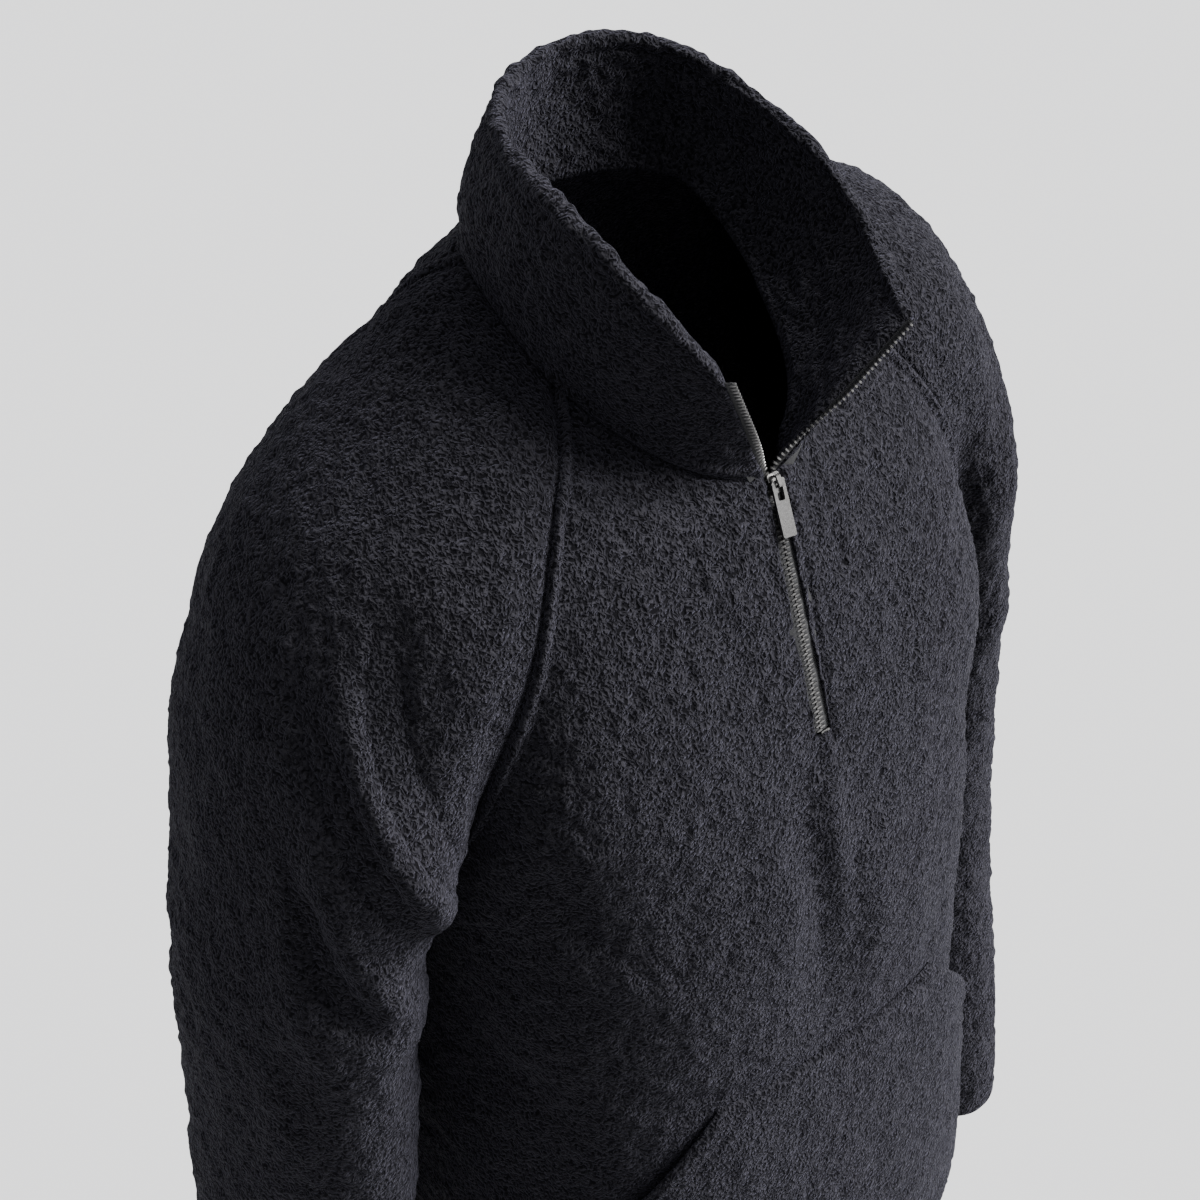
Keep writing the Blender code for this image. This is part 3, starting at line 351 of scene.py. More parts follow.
class Garment:
    """The whole hollow surface: shared points, and the faces of each piece."""

    def __init__(self):
        self.points = []
        self.index = {}
        self.faces = {}
        self.grids = {}
        self.normals = None

    def add(self, point):
        """The number of a point. Pieces that meet there share it."""
        key = tuple(round(float(c), 6) for c in point)
        if key not in self.index:
            self.index[key] = len(self.points)
            self.points.append(np.array(point, float))
        return self.index[key]

    def add_grid(self, piece, rows):
        """Stores a piece's rows of points and the faces between them."""
        grid = [[self.add(point) for point in row] for row in rows]
        self.grids[piece] = np.array(grid)
        faces = []
        for upper, lower in zip(grid[:-1], grid[1:]):
            for k in range(len(upper) - 1):
                faces.append(clean_face((upper[k], lower[k], lower[k + 1], upper[k + 1])))
        self.faces[piece] = [face for face in faces if len(face) > 2]


def clean_face(face):
    """The face without a corner that is there twice."""
    kept = []
    for corner in face:
        if corner not in kept:
            kept.append(corner)
    return tuple(kept)


def mirrored(rows):
    """The left sleeve's rows on the right side."""
    return [row * np.array([-1.0, 1.0, 1.0]) for row in rows]


def lift(points, side):
    """Raises and widens one shoulder: nothing at the neck and all of it past the shoulder."""
    across = np.abs(points[:, 0])
    lifted = ramp(across, *LIFT_ACROSS) * ramp(points[:, 2], *LIFT_UP)
    widened = ramp(across, *WIDEN_ACROSS) * ramp(points[:, 2], *WIDEN_UP)
    moved = points.copy()
    moved[:, 2] += SHOULDER_LIFT[side] * lifted
    moved[:, 0] += SHOULDER_OUT[side] * widened
    return moved


def sleeve_rows(side):
    """All rows of one sleeve as if it were the left one, neck to cuff."""
    shoulder = read_rows(SHOULDER_COLUMNS, SHOULDER_ROWS, ROWS_YOKE + 1)
    full = np.linspace(1.0, SHOULDER_FRONT[side], ROWS_YOKE + 1)
    shoulder["front"] = shoulder["front"] * full
    arm = read_rows(ARM_COLUMNS, ARM_ROWS[side], ROWS_ARM + 1)
    count = COLUMNS_SLEEVE + 1
    rows = [shoulder_arc(row_at(shoulder, i), count) for i in range(ROWS_YOKE + 1)]
    armpit = rows[-1][0] * 0.5 + rows[-1][-1] * 0.5
    rows[-1][0] = armpit
    rows[-1][-1] = armpit
    for i in range(1, ROWS_ARM + 1):
        ring = arm_ring(row_at(arm, i), count)
        ring[-1] = ring[0]
        rows.append(ring)
    return [lift(row, side) for row in rows]


def panel_rows(sleeves, is_front):
    """Rows of the front or back: raglan seam to raglan seam, then side seam to side seam."""
    middle = read_rows(MIDDLE_COLUMNS, MIDDLE_ROWS, ROWS_YOKE + 1)
    body = read_rows(BODY_COLUMNS, BODY_ROWS, ROWS_BODY + 1)
    name = "front" if is_front else "back"
    seam_column = 0 if is_front else -1
    half = COLUMNS_HALF_FRONT if is_front else COLUMNS_BACK // 2
    inner = ZIP_SLOT_HALF if is_front else 0.0
    rows = []
    for i in range(ROWS_YOKE + 1 + ROWS_BODY):
        halves = []
        for side, sign in (("right", -1.0), ("left", 1.0)):
            if i <= ROWS_YOKE:
                seam = sleeves[side][i][seam_column]
                centre = np.array([0.0, middle[name + "_y"][i], middle[name + "_z"][i]])
                turn = middle[name + "_turn"][i]
                square = middle["square"][i]
            else:
                row = row_at(body, i - ROWS_YOKE)
                seam = np.array([row["half_width"], row["middle_y"], row["height"]])
                reach = -row["front"] if is_front else row["back"]
                centre = np.array([0.0, row["middle_y"] + reach, row["height"]])
                turn = 90.0
                square = row["square"]
            arc = half_arc(seam, centre, turn, square, inner, half + 1)
            arc[-1] = seam
            halves.append(arc * np.array([sign, 1.0, 1.0]))
        right, left = halves
        rows.append(np.concatenate([right[::-1], left if is_front else left[1:]]))
    return rows


def build_surface():
    """Lays out the four pieces of the body with shared points along their seams."""
    garment = Garment()
    sleeves = {side: sleeve_rows(side) for side in ("right", "left")}
    garment.add_grid("sleeve_left", sleeves["left"])
    garment.add_grid("sleeve_right", mirrored(sleeves["right"]))
    garment.add_grid("front", panel_rows(sleeves, True))
    garment.add_grid("back", panel_rows(sleeves, False))
    garment.points = np.array(garment.points)
    for piece in ("sleeve_right", "back"):
        garment.faces[piece] = [face[::-1] for face in garment.faces[piece]]
    return garment


def all_faces(garment):
    """The faces of all four pieces."""
    return [face for faces in garment.faces.values() for face in faces]


def neighbours(garment):
    """For each point, the points that share an edge with it."""
    near = [set() for _ in garment.points]
    for face in all_faces(garment):
        for a, b in zip(face, face[1:] + face[:1]):
            near[a].add(b)
            near[b].add(a)
    return [sorted(n) for n in near]


def border_points(faces):
    """Points on the open edges of a set of faces."""
    count = {}
    for face in faces:
        for a, b in zip(face, face[1:] + face[:1]):
            key = (min(a, b), max(a, b))
            count[key] = count.get(key, 0) + 1
    return {p for key, n in count.items() if n == 1 for p in key}


def soften(garment):
    """Evens out the creases where rows of different pieces meet, without shrinking."""
    near = neighbours(garment)
    fixed = border_points(all_faces(garment))
    for _ in range(SOFTEN_ROUNDS):
        for weight in SOFTEN_WEIGHTS:
            mean = np.array([garment.points[n].mean(axis=0) for n in near])
            moved = garment.points + weight * (mean - garment.points)
            for p in fixed:
                moved[p] = garment.points[p]
            garment.points = moved


def point_normals(points, faces):
    """Normals at the points, with each face counting by its area."""
    normals = np.zeros_like(points)
    for face in faces:
        corner = points[list(face)]
        if len(face) == 4:
            n = np.cross(corner[2] - corner[0], corner[3] - corner[1])
        else:
            n = np.cross(corner[1] - corner[0], corner[2] - corner[0])
        for p in face:
            normals[p] += n
    return unit(normals)


def garment_normals(garment):
    """Normals that lie halfway between the body and a sleeve where they meet."""
    body = garment.faces["front"] + garment.faces["back"]
    groups = (body, garment.faces["sleeve_right"], garment.faces["sleeve_left"])
    return unit(sum(point_normals(garment.points, faces) for faces in groups))


def press_folds(garment):
    """Moves points along the surface's normals by the fold table."""
    normals = garment_normals(garment)
    shift = np.zeros(len(garment.points))
    taper = np.sin(np.linspace(FOLD_TAPER, math.pi - FOLD_TAPER, FOLD_SAMPLES))
    for piece, folds in FOLD_ROWS.items():
        grid = garment.grids[piece]
        ids = np.unique(grid)
        last = np.array(grid.shape) - 1
        for fold in folds:
            row = dict(zip(FOLD_COLUMNS, fold))
            a = np.array([row["down_a"], row["round_a"]]) * last
            b = np.array([row["down_b"], row["round_b"]]) * last
            line = np.array([grid_point(garment, grid, *(a + (b - a) * t))
                             for t in np.linspace(0.0, 1.0, FOLD_SAMPLES)])
            strength = beside_line(garment.points[ids], line, row["half_width"], taper)
            shift[ids] += row["depth"] * strength
    garment.points = garment.points + shift[:, None] * normals


def beside_line(points, line, half_width, taper):
    """How strongly points feel a line: less to its sides, and less towards its ends."""
    gap = np.linalg.norm(points[..., None, :] - line, axis=-1)
    return np.exp(-(gap.min(axis=-1) / half_width) ** 2) * taper[gap.argmin(axis=-1)]


def grid_point(garment, grid, row, column):
    """A point of a piece at a fractional row and column."""
    r = int(min(max(row, 0), grid.shape[0] - 1.001))
    c = int(min(max(column, 0), grid.shape[1] - 1.001))
    s, t = row - r, column - c
    p = garment.points
    return ((1 - s) * (1 - t) * p[grid[r, c]] + (1 - s) * t * p[grid[r, c + 1]]
            + s * (1 - t) * p[grid[r + 1, c]] + s * t * p[grid[r + 1, c + 1]])


# ---------------------------------------------------------------- collar

def neck_line(garment):
    """The neck seam, from the zip's right side round the back to its left side."""
    front = garment.grids["front"][0]
    middle = COLUMNS_HALF_FRONT
    right = list(front[:middle + 1][::-1])
    left = list(front[middle + 1:][::-1])
    line = right + list(garment.grids["sleeve_right"][0][1:])
    line += list(garment.grids["back"][0][1:])
    line += list(garment.grids["sleeve_left"][0][::-1][1:])
    line += left[1:]
    return line


def collar_surface(garment):
    """Outer points of the collar, columns round the neck and rows up to the rim."""
    line = neck_line(garment)
    base = garment.points[line]
    length = running_length(base)
    share = length / length[-1]
    rim = table(RIM_COLUMNS, RIM_ROWS)
    place = np.stack([smooth_read(rim["share"], rim[c], share) for c in ("x", "y", "z")], axis=1)
    bulge = smooth_read(rim["share"], rim["bulge"], share)
    outward = collar_outward(base, place)
    follow = np.exp(-(np.minimum(share, 1.0 - share) / ZIP_REACH) ** 2)[:, None]
    foot = base + unit(place - base) * (2.0 * SEAM_GAP)
    rows, normals = [], []
    for level in COLLAR_LEVELS:
        swell = math.sin(math.pi * level) * bulge
        rows.append(foot + (place - foot) * level + outward * swell[:, None])
        share_of_front = follow * max(0.0, 1.0 - 2.0 * level)
        normal = outward + (garment.normals[line] - outward) * share_of_front
        normals.append(unit(normal))
    return np.array(rows), np.array(normals)


def collar_outward(base, place):
    """Directions out of the collar's surface, level along each column."""
    along = np.gradient(base * 0.5 + place * 0.5, axis=0)
    return unit(np.cross(place - base, along))


# ---------------------------------------------------------------- zip

def zip_path(garment, collar_rows, outward, side):
    """Middle of one side of the zip: up the closed front, then along the collar's open edge."""
    grid = garment.grids["front"]
    middle = COLUMNS_HALF_FRONT
    sign = -1.0 if side == "right" else 1.0
    column = middle if side == "right" else middle + 1
    path, normals, across = [], [], []
    for r in range(ZIP_END_ROW, -1, -1):
        edge = garment.points[grid[r, column]]
        normal = garment.normals[grid[r, column]].copy()
        normal[0] = 0.0
        normal = unit(normal)
        opened = CHAIN_OPENED if r == 0 else 0.0
        x = sign * (CHAIN_APART + CHAIN_HALF_WIDTH / 2.0 + opened) - zip_drift(r)
        path.append(np.array([x, edge[1], edge[2]]) - normal * CHAIN_THICKNESS / 2.0)
        normals.append(normal)
        across.append(np.array([sign, 0.0, 0.0]))
    path[0] = path[0] + (path[1] - path[0]) * CHAIN_END_SHARE
    edge_column = 0 if side == "right" else -1
    for k in range(1, COLLAR_ROWS + 1):
        edge = collar_rows[k, edge_column]
        along = unit(edge - collar_rows[k - 1, edge_column])
        normal = outward[k, edge_column]
        inward = np.cross(normal, along)
        if np.dot(inward, collar_rows[k, 1 if side == "right" else -2] - edge) < 0:
            inward = -inward
        clear = ZIP_CLEARANCE + CHAIN_HALF_WIDTH / 2.0
        path.append(edge - inward * clear - normal * (CHAIN_THICKNESS / 2.0 + SEAM_GAP))
        normals.append(normal)
        across.append(inward)
    return np.array(path), np.array(normals), np.array(across)


# ---------------------------------------------------------------- finer cloth

# How a cell between two knots is divided: plainly, from a seam on, and between two seams.
UNIFORM_STEPS = (0.0, 0.1, 0.2, 0.3, 0.4, 0.5, 0.6, 0.7, 0.8, 0.9, 1.0)
SEAM_STEPS = (0.0, 0.035, 0.08, 0.135, 0.20, 0.28, 0.38, 0.5, 0.66, 0.83, 1.0)
NARROW_STEPS = (0.0, 0.25, 0.5, 0.75, 1.0)
COLLAR_ACROSS = 4            # steps in one column of the collar
COLLAR_LINES = 64            # rows of points from its foot to its rim
RIM_ARC_STEPS = 10           # and rows over the rim
PANEL_DEPTH = WALL * 0.85    # how far the inner face lies inside the surface
POCKET_DEPTH = POCKET_WALL * 0.9
FOOT_DEPTH = 0.003           # how far the collar's foot runs in behind the neck seam
FOOT_TUCK = 0.0008           # and how far its outer face is drawn in there
RIM_SWELL = 1.1              # height of the rim's arch as a share of its radius
RIM_PILE = 1.3               # height of its pile as a share of the rest's

LATTICE = 32                 # corners along one side of the noise's lattice

ZIP_SWAY = 0.0065            # how far the closed zip hangs off the middle of the front
ZIP_SWAY_ROWS = (0, 1, 2, 3, 4, 6, 8, 10, 12, 14, 16)    # from the neck seam down
ZIP_SWAY_SHARES = (0.0, 0.36, 0.72, 0.96, 1.0, 0.86, 0.60, 0.36, 0.20, 0.08, 0.0)
ZIP_SWAY_REACH = 0.05        # how far to each side the front sways with it

# The cloth's unevenness, in layers: height, size, and where in the noise it is read. The curls'
# heights are shares of the setting for them.
BROAD_LAYERS = ((0.0013, 0.055, 0.0), (0.0008, 0.024, 3.0))
CURL_LAYERS = ((1.0, 0.0062, 7.0), (0.7, 0.0040, 11.0))
OUTSIDE_WAVES = ((0.0015, 0.040, 0.0),)    # of the collar
INSIDE_WAVES = ((0.0016, 0.034, 2.0),)
PILE_SEED, INSIDE_SEED, COLLAR_SEED = 5, 6, 9
SLOT_MARGIN = 0.4            # rows below the zip's end where its slot still shows in the relief
POCKET_MARGIN = (0.2, 0.6)   # rows and columns beyond the pouch that still count as under it
UNDER_POCKET = 0.1           # share of the front's own relief that is left under the pouch

# Lines pressed into the outer face along an edge, or raised from it: height, distance from the
# edge, and half width.
YOKE_SMOOTHING = (-0.5, 0.004, 0.004)    # a share of what is already there
SLEEVE_SEAM = (-0.0010, 0.0, 0.0017)
PANEL_SEAM = (-0.0003, 0.0, 0.0017)
RAGLAN_STITCHES = (-0.0008, 0.0085, 0.0016)
SIDE_ALLOWANCE = (0.0006, 0.0045, 0.0023)
NECK_ALLOWANCE = (0.0012, 0.0045, 0.0040)
HEM_EDGE = (-0.0020, 0.0, 0.0016)
HEM_STITCHES = (-0.0006, 0.021, 0.0016)
SLOT_EDGE = (-0.0011, 0.0, 0.0012)
SLOT_ROLL = (0.0009, 0.0042, 0.0018)
COLLAR_FOOT = (0.0014, 0.0050, 0.0045)
RIM_STITCHES_OUTSIDE = (-0.0015, 0.0045, 0.0016)
RIM_STITCHES_INSIDE = (-0.0013, 0.0060, 0.0018)
POCKET_SEWN = (-0.0034, 0.0, 0.0026)
POCKET_MOUTH_EDGE = (-0.0016, 0.0, 0.0026)
POCKET_TOP_STITCHES = (-0.0010, 0.0075, 0.0016)
POCKET_MOUTH_STITCHES = (-0.0011, 0.020, 0.0018)

EDGE_FADE = 0.006            # over this width the pile dies away towards a panel's edge
COLLAR_FADE = 0.005          # the same on the collar
BESIDE_SEAM = (0.0018, 0.0020)       # the sunk strip of a sleeve beside its seam
BESIDE_RAGLAN, BESIDE_UNDERARM = 0.0012, 0.0004    # how deep it is
BESIDE_FADE = 0.001          # over this width from the seam it sets in
BAND_FOOT = 0.25             # height of the band below at the seam itself, as a share
BAND_RISE = (0.0, 0.0024)    # the raglan seam's raised band on the body: where it rises
BAND_FALL = (0.0046, 0.0076)    # and falls
# On this strip the pile is painted lighter, with less of the painted gap shade: a painted
# highlight along the raised seam band.
HIGHLIGHT_RISE = (0.0006, 0.0020)    # where the pile on it is pressed flat
HIGHLIGHT_FALL = (0.0046, 0.0070)
SHARED_REACH = 0.012         # over this width a piece's normals turn into its neighbour's

# Creases laid on one piece, on top of the folds: troughs are negative, ridges positive.
# Bow bends the line sideways in the middle, as a share of its length.
CREASE_SAMPLES = 30          # places worked out along a crease
CREASE_TAPER = 0.1           # how far a crease's ends are from nothing, as an angle
CREASE_COLUMNS = ("round_a", "down_a", "round_b", "down_b", "bow", "depth", "half_width")
CREASE_ROWS = {
    "sleeve_right": (
        (0.275, 0.195, 0.075, 0.335, 0.08, -0.0125, 0.0105),
        (0.39, 0.245, 0.20, 0.385, -0.04, -0.0105, 0.0095),
        (0.32, 0.225, 0.155, 0.35, 0.05, 0.0044, 0.012),
        (0.39, 0.345, 0.27, 0.46, 0.05, -0.0080, 0.0085),
        (0.37, 0.305, 0.21, 0.47, 0.04, 0.0070, 0.012),
        (0.42, 0.36, 0.31, 0.52, 0.05, 0.0046, 0.012),
        (0.30, 0.58, 0.18, 0.63, -0.10, -0.0026, 0.010),
        (0.44, 0.50, 0.34, 0.62, 0.10, 0.0022, 0.013),
        (0.22, 0.69, 0.40, 0.74, 0.12, -0.0024, 0.011),
        (0.70, 0.24, 0.82, 0.36, 0.10, -0.0034, 0.011),
        (0.62, 0.46, 0.80, 0.52, -0.10, -0.0030, 0.010),
        (0.60, 0.66, 0.78, 0.74, 0.12, -0.0028, 0.011),
        (0.54, 0.34, 0.60, 0.50, 0.08, 0.0020, 0.015),
    ),
    "sleeve_left": (
        (0.24, 0.18, 0.12, 0.29, 0.10, -0.0032, 0.010),
        (0.30, 0.40, 0.16, 0.47, -0.12, -0.0030, 0.010),
        (0.36, 0.54, 0.22, 0.60, 0.10, -0.0028, 0.010),
        (0.42, 0.46, 0.34, 0.62, 0.10, 0.0020, 0.014),
        (0.28, 0.72, 0.42, 0.78, -0.12, -0.0024, 0.011),
        (0.72, 0.25, 0.84, 0.37, 0.10, -0.0034, 0.011),
        (0.62, 0.44, 0.78, 0.51, 0.10, -0.0030, 0.010),
        (0.58, 0.64, 0.76, 0.71, -0.12, -0.0028, 0.011),
    ),
    "front": (
        (0.12, 0.36, 0.26, 0.50, 0.10, -0.0034, 0.013),
        (0.18, 0.43, 0.34, 0.55, -0.10, 0.0024, 0.014),
        (0.88, 0.36, 0.76, 0.47, 0.10, -0.0032, 0.012),
        (0.502, 0.345, 0.507, 0.58, -0.03, 0.0042, 0.008),
        (0.445, 0.36, 0.45, 0.60, 0.04, -0.0036, 0.015),
        (0.62, 0.52, 0.61, 0.66, 0.04, 0.0034, 0.016),
        (0.40, 0.40, 0.42, 0.60, 0.06, 0.0018, 0.016),
        (0.30, 0.10, 0.36, 0.30, 0.08, -0.0018, 0.016),
        (0.72, 0.12, 0.66, 0.30, 0.08, -0.0018, 0.015),
        (0.10, 0.62, 0.22, 0.70, 0.10, -0.0026, 0.012),
    ),
    "back": (
        (0.20, 0.30, 0.32, 0.46, 0.10, -0.0030, 0.014),
        (0.80, 0.32, 0.70, 0.45, -0.10, -0.0032, 0.013),
        (0.14, 0.56, 0.34, 0.66, 0.12, -0.0032, 0.013),
        (0.88, 0.54, 0.64, 0.62, 0.12, -0.0034, 0.012),
        (0.44, 0.40, 0.46, 0.66, 0.06, 0.0026, 0.016),
        (0.54, 0.60, 0.52, 0.92, 0.05, -0.0030, 0.015),
        (0.30, 0.74, 0.34, 0.96, -0.05, 0.0026, 0.014),
    ),
}


class SoftNoise:
    """A smooth, even kind of unevenness, the same on each run."""

    def __init__(self, seed):
        self.lattice = np.random.default_rng(seed).random((LATTICE, LATTICE, LATTICE))

    def at(self, points, size):
        """Values from -1 to 1 that rise and fall over about the size given."""
        place = points / size
        low = np.floor(place).astype(int)
        part = place - low
        part = part * part * (3.0 - 2.0 * part)
        total = 0.0
        for corner in itertools.product((0, 1), repeat=3):
            weight = 1.0
            for axis, far in enumerate(corner):
                weight = weight * (part[..., axis] if far else 1.0 - part[..., axis])
            x, y, z = ((low[..., axis] + far) % LATTICE for axis, far in enumerate(corner))
            total = total + weight * self.lattice[x, y, z]
        return total * 2.0 - 1.0


def stations(count, seams=()):
    """Places between the knots where the cloth is worked out, closer together at a seam."""
    places = [0.0]
    for k in range(count - 1):
        if k in seams and k + 1 in seams:
            steps = NARROW_STEPS
        elif k in seams:
            steps = SEAM_STEPS
        elif k + 1 in seams:
            steps = tuple(1.0 - s for s in SEAM_STEPS[::-1])
        else:
            steps = UNIFORM_STEPS
        places += [k + s for s in steps[1:]]
    return np.array(places)


def half_stations(places):
    """Where the plain inner face has its corners: at each knot and halfway between."""
    return [i for i, p in enumerate(places) if abs(p * 2.0 - round(p * 2.0)) < 1e-6]


def knot_weights(count, places, closed=False):
    """Catmull-Rom weights that read a row of knots at places in between."""
    weights = np.zeros((len(places), count))
    for i, place in enumerate(places):
        k = min(int(place + 1e-9), count - 2)
        t = place - k
        parts = ((-t + 2 * t**2 - t**3) / 2, (2 - 5 * t**2 + 3 * t**3) / 2,
                 (t + 4 * t**2 - 3 * t**3) / 2, (t**3 - t**2) / 2)
        for j, part in zip(range(k - 1, k + 3), parts):
            if closed:
                weights[i, j % (count - 1)] += part
            elif j < 0:
                weights[i, 0] += 2 * part
                weights[i, 1] -= part
            elif j > count - 1:
                weights[i, -1] += 2 * part
                weights[i, -2] -= part
            else:
                weights[i, j] += part
    return weights


def refine(points, row_places, column_places, closed_from=None):
    """A grid of knots worked out more finely, closed into a tube from one row of knots on."""
    across = np.einsum("ck,rkx->rcx", knot_weights(points.shape[1], column_places), points)
    if closed_from is not None:
        closed = knot_weights(points.shape[1], column_places, True)
        across[closed_from:] = np.einsum("ck,rkx->rcx", closed, points[closed_from:])
    return np.einsum("rk,kcx->rcx", knot_weights(points.shape[0], row_places), across)


def read_grid(points, rows, columns):
    """Points of the surface through a grid of knots, at matching rows and columns."""
    by_row = knot_weights(points.shape[0], rows.ravel())
    by_column = knot_weights(points.shape[1], columns.ravel())
    found = np.einsum("nk,nl,klx->nx", by_row, by_column, points, optimize=True)
    return found.reshape(*rows.shape, 3)


def surface_normals(points, closed_from=None):
    """Normals of a grid, pointing away from the hollow side."""
    down = np.gradient(points, axis=0)
    across = np.gradient(points, axis=1)
    if closed_from is not None:
        ends = (points[closed_from:, 1] - points[closed_from:, -2]) / 2.0
        across[closed_from:, 0] = ends
        across[closed_from:, -1] = ends
    normals = unit(np.cross(down, across))
    away = points - points.mean(axis=1, keepdims=True)
    return normals if np.sum(normals * away) > 0 else -normals


def distances(points):
    """How far each place lies from the left, right, top and bottom edges, along the cloth."""
    across = np.linalg.norm(np.diff(points, axis=1), axis=2)
    down = np.linalg.norm(np.diff(points, axis=0), axis=2)
    left = np.concatenate([np.zeros((len(points), 1)), np.cumsum(across, axis=1)], axis=1)
    top = np.concatenate([np.zeros((1, points.shape[1])), np.cumsum(down, axis=0)], axis=0)
    return left, left[:, -1:] - left, top, top[-1:] - top


def bell(distance, middle, width):
    """A bump of height 1 that dies away on both sides of its middle."""
    return np.exp(-((distance - middle) / width) ** 2)


def line_height(distance, line):
    """The height of one of the lines above at a distance from its edge."""
    height, middle, width = line
    return height * bell(distance, middle, width)


def soft_step(distance, start, end):
    """A smooth rise from 0 at the start to 1 at the end."""
    part = np.clip((distance - start) / (end - start), 0.0, 1.0)
    return part * part * (3.0 - 2.0 * part)


def crease_heights(piece, points, row_places, column_places):
    """Heights of the creases of one piece."""
    heights = np.zeros(points.shape[:2])
    t = np.linspace(0.0, 1.0, CREASE_SAMPLES)
    taper = np.sin(np.linspace(CREASE_TAPER, math.pi - CREASE_TAPER, CREASE_SAMPLES)) ** 0.8
    for crease in CREASE_ROWS[piece]:
        row = dict(zip(CREASE_COLUMNS, crease))
        step = np.array([row["down_b"] - row["down_a"], row["round_b"] - row["round_a"]])
        bend = np.sin(math.pi * t) * row["bow"]
        down = (row["down_a"] + step[0] * t - step[1] * bend) * row_places[-1]
        around = (row["round_a"] + step[1] * t + step[0] * bend) * column_places[-1]
        r = np.clip(np.searchsorted(row_places, down), 0, len(row_places) - 1)
        c = np.clip(np.searchsorted(column_places, around), 0, len(column_places) - 1)
        heights += row["depth"] * beside_line(points, points[r, c], row["half_width"], taper)
    return heights


def layered(noise, points, layers):
    """Layers of unevenness, one on top of the other."""
    return sum(height * noise.at(points + place, size) for height, size, place in layers)


def pile_heights(points, settings, seed=PILE_SEED):
    """The soft unevenness of the cloth and of its pile."""
    noise = SoftNoise(seed)
    curls = settings.curl_height * layered(noise, points, CURL_LAYERS)
    return layered(noise, points, BROAD_LAYERS) + curls


def place_object(name, data):
    """A new object in the scene."""
    made = bpy.data.objects.new(name, data)
    bpy.context.scene.collection.objects.link(made)
    return made


def new_object(name, points, faces, surface, seam_highlight=None):
    """A named piece, closed, with its faces turned outwards. The last argument says, point by
    point, where an allowance below presses the pile flat and the pile gets a painted highlight."""
    mesh = bpy.data.meshes.new(name)
    mesh.from_pydata(np.asarray(points).tolist(), [], faces)
    painted_highlight = mesh.attributes.new("painted_seam_highlight", "FLOAT", "POINT")
    values = np.zeros(len(points))
    if seam_highlight is not None:
        values[:seam_highlight.size] = seam_highlight.ravel()
    painted_highlight.data.foreach_set("value", values)
    shape = bmesh.new()
    shape.from_mesh(mesh)
    loose = [v for v in shape.verts if not v.link_faces]
    bmesh.ops.delete(shape, geom=loose, context="VERTS")
    bmesh.ops.recalc_face_normals(shape, faces=shape.faces)
    if shape.calc_volume(signed=True) < 0:
        bmesh.ops.reverse_faces(shape, faces=shape.faces)
    shape.to_mesh(mesh)
    shape.free()
    mesh.shade_smooth()
    mesh.materials.append(surface)
    return place_object(name, mesh)


def tube(name, ring, surface):
    """A piece with a closed section: its sides, and at each end a row of faces across it. The
    ring holds the section's corners by the places along the piece."""
    around, count = ring.shape[:2]
    number = np.arange(around * count).reshape(around, count)
    after = np.roll(number, -1, axis=0)
    corners = (number[:, :-1], after[:, :-1], after[:, 1:], number[:, 1:])
    faces = np.stack([corner.ravel() for corner in corners], axis=1).tolist()
    for c in (0, count - 1):
        for k in range(around // 2 - 1):
            faces.append([int(number[k, c]), int(number[k + 1, c]),
                          int(number[around - 2 - k, c]), int(number[around - 1 - k, c])])
    return new_object(name, ring.reshape(-1, 3), faces, surface)


def shell(name, base, normals, raised, row_places, column_places, cut, closed_from, thickness,
          surface, seam_highlight=None):
    """A thin closed piece of cloth: a fine face outwards, a plainer one inwards."""
    rows, columns = base.shape[:2]
    points = list((base + normals * raised[..., None]).reshape(-1, 3))
    number = np.arange(rows * columns).reshape(rows, columns)
    if closed_from is not None:
        number[closed_from:, -1] = number[closed_from:, 0]
    faces = []
    inner = {}
    edges = {}

    def inside(r, c):
        """The number of the inner face's point below a place of the outer face."""
        key = int(number[r, c])
        if key not in inner:
            inner[key] = len(points)
            points.append(base[r, c] - normals[r, c] * thickness)
        return inner[key]

    kept_rows = half_stations(row_places)
    kept_columns = half_stations(column_places)
    for i, (r0, r1) in enumerate(zip(kept_rows[:-1], kept_rows[1:])):
        for j, (c0, c1) in enumerate(zip(kept_columns[:-1], kept_columns[1:])):
            if (i // 2, j // 2) in cut:
                continue
            block = number[r0:r1 + 1, c0:c1 + 1]
            corners = (block[:-1, :-1], block[1:, :-1], block[1:, 1:], block[:-1, 1:])
            faces += np.stack([corner.ravel() for corner in corners], axis=1).tolist()
            faces.append([inside(r0, c1), inside(r1, c1), inside(r1, c0), inside(r0, c0)])
            runs = (
                (number[r0:r1 + 1, c0], (r0, c0), (r1, c0)),
                (number[r1, c0:c1 + 1], (r1, c0), (r1, c1)),
                (number[r0:r1 + 1, c1][::-1], (r1, c1), (r0, c1)),
                (number[r0, c0:c1 + 1][::-1], (r0, c1), (r0, c0)),
            )
            for run, start, end in runs:
                key = frozenset((int(run[0]), int(run[-1])))
                edges[key] = None if key in edges else (run.tolist(), start, end)
    for entry in edges.values():
        if entry:
            run, start, end = entry
            faces.append(run[::-1] + [inside(*start), inside(*end)])
    return new_object(name, points, faces, surface, seam_highlight)


def zip_drift(row):
    """How far the hanging zip sways towards the wearer's right at a row of the front."""
    return ZIP_SWAY * np.interp(row, ZIP_SWAY_ROWS, ZIP_SWAY_SHARES)


def pullover_surface():
    """The part's own surface: laid out, softened and folded, with its zip swaying a little."""
    garment = build_surface()
    soften(garment)
    press_folds(garment)
    soften(garment)
    grid = garment.grids["front"]
    for r in range(1, ZIP_SWAY_ROWS[-1]):
        for c in range(1, grid.shape[1] - 1):
            point = garment.points[grid[r, c]]
            point[0] = point[0] - zip_drift(r) * math.exp(-(point[0] / ZIP_SWAY_REACH) ** 2)
    garment.normals = garment_normals(garment)
    return garment


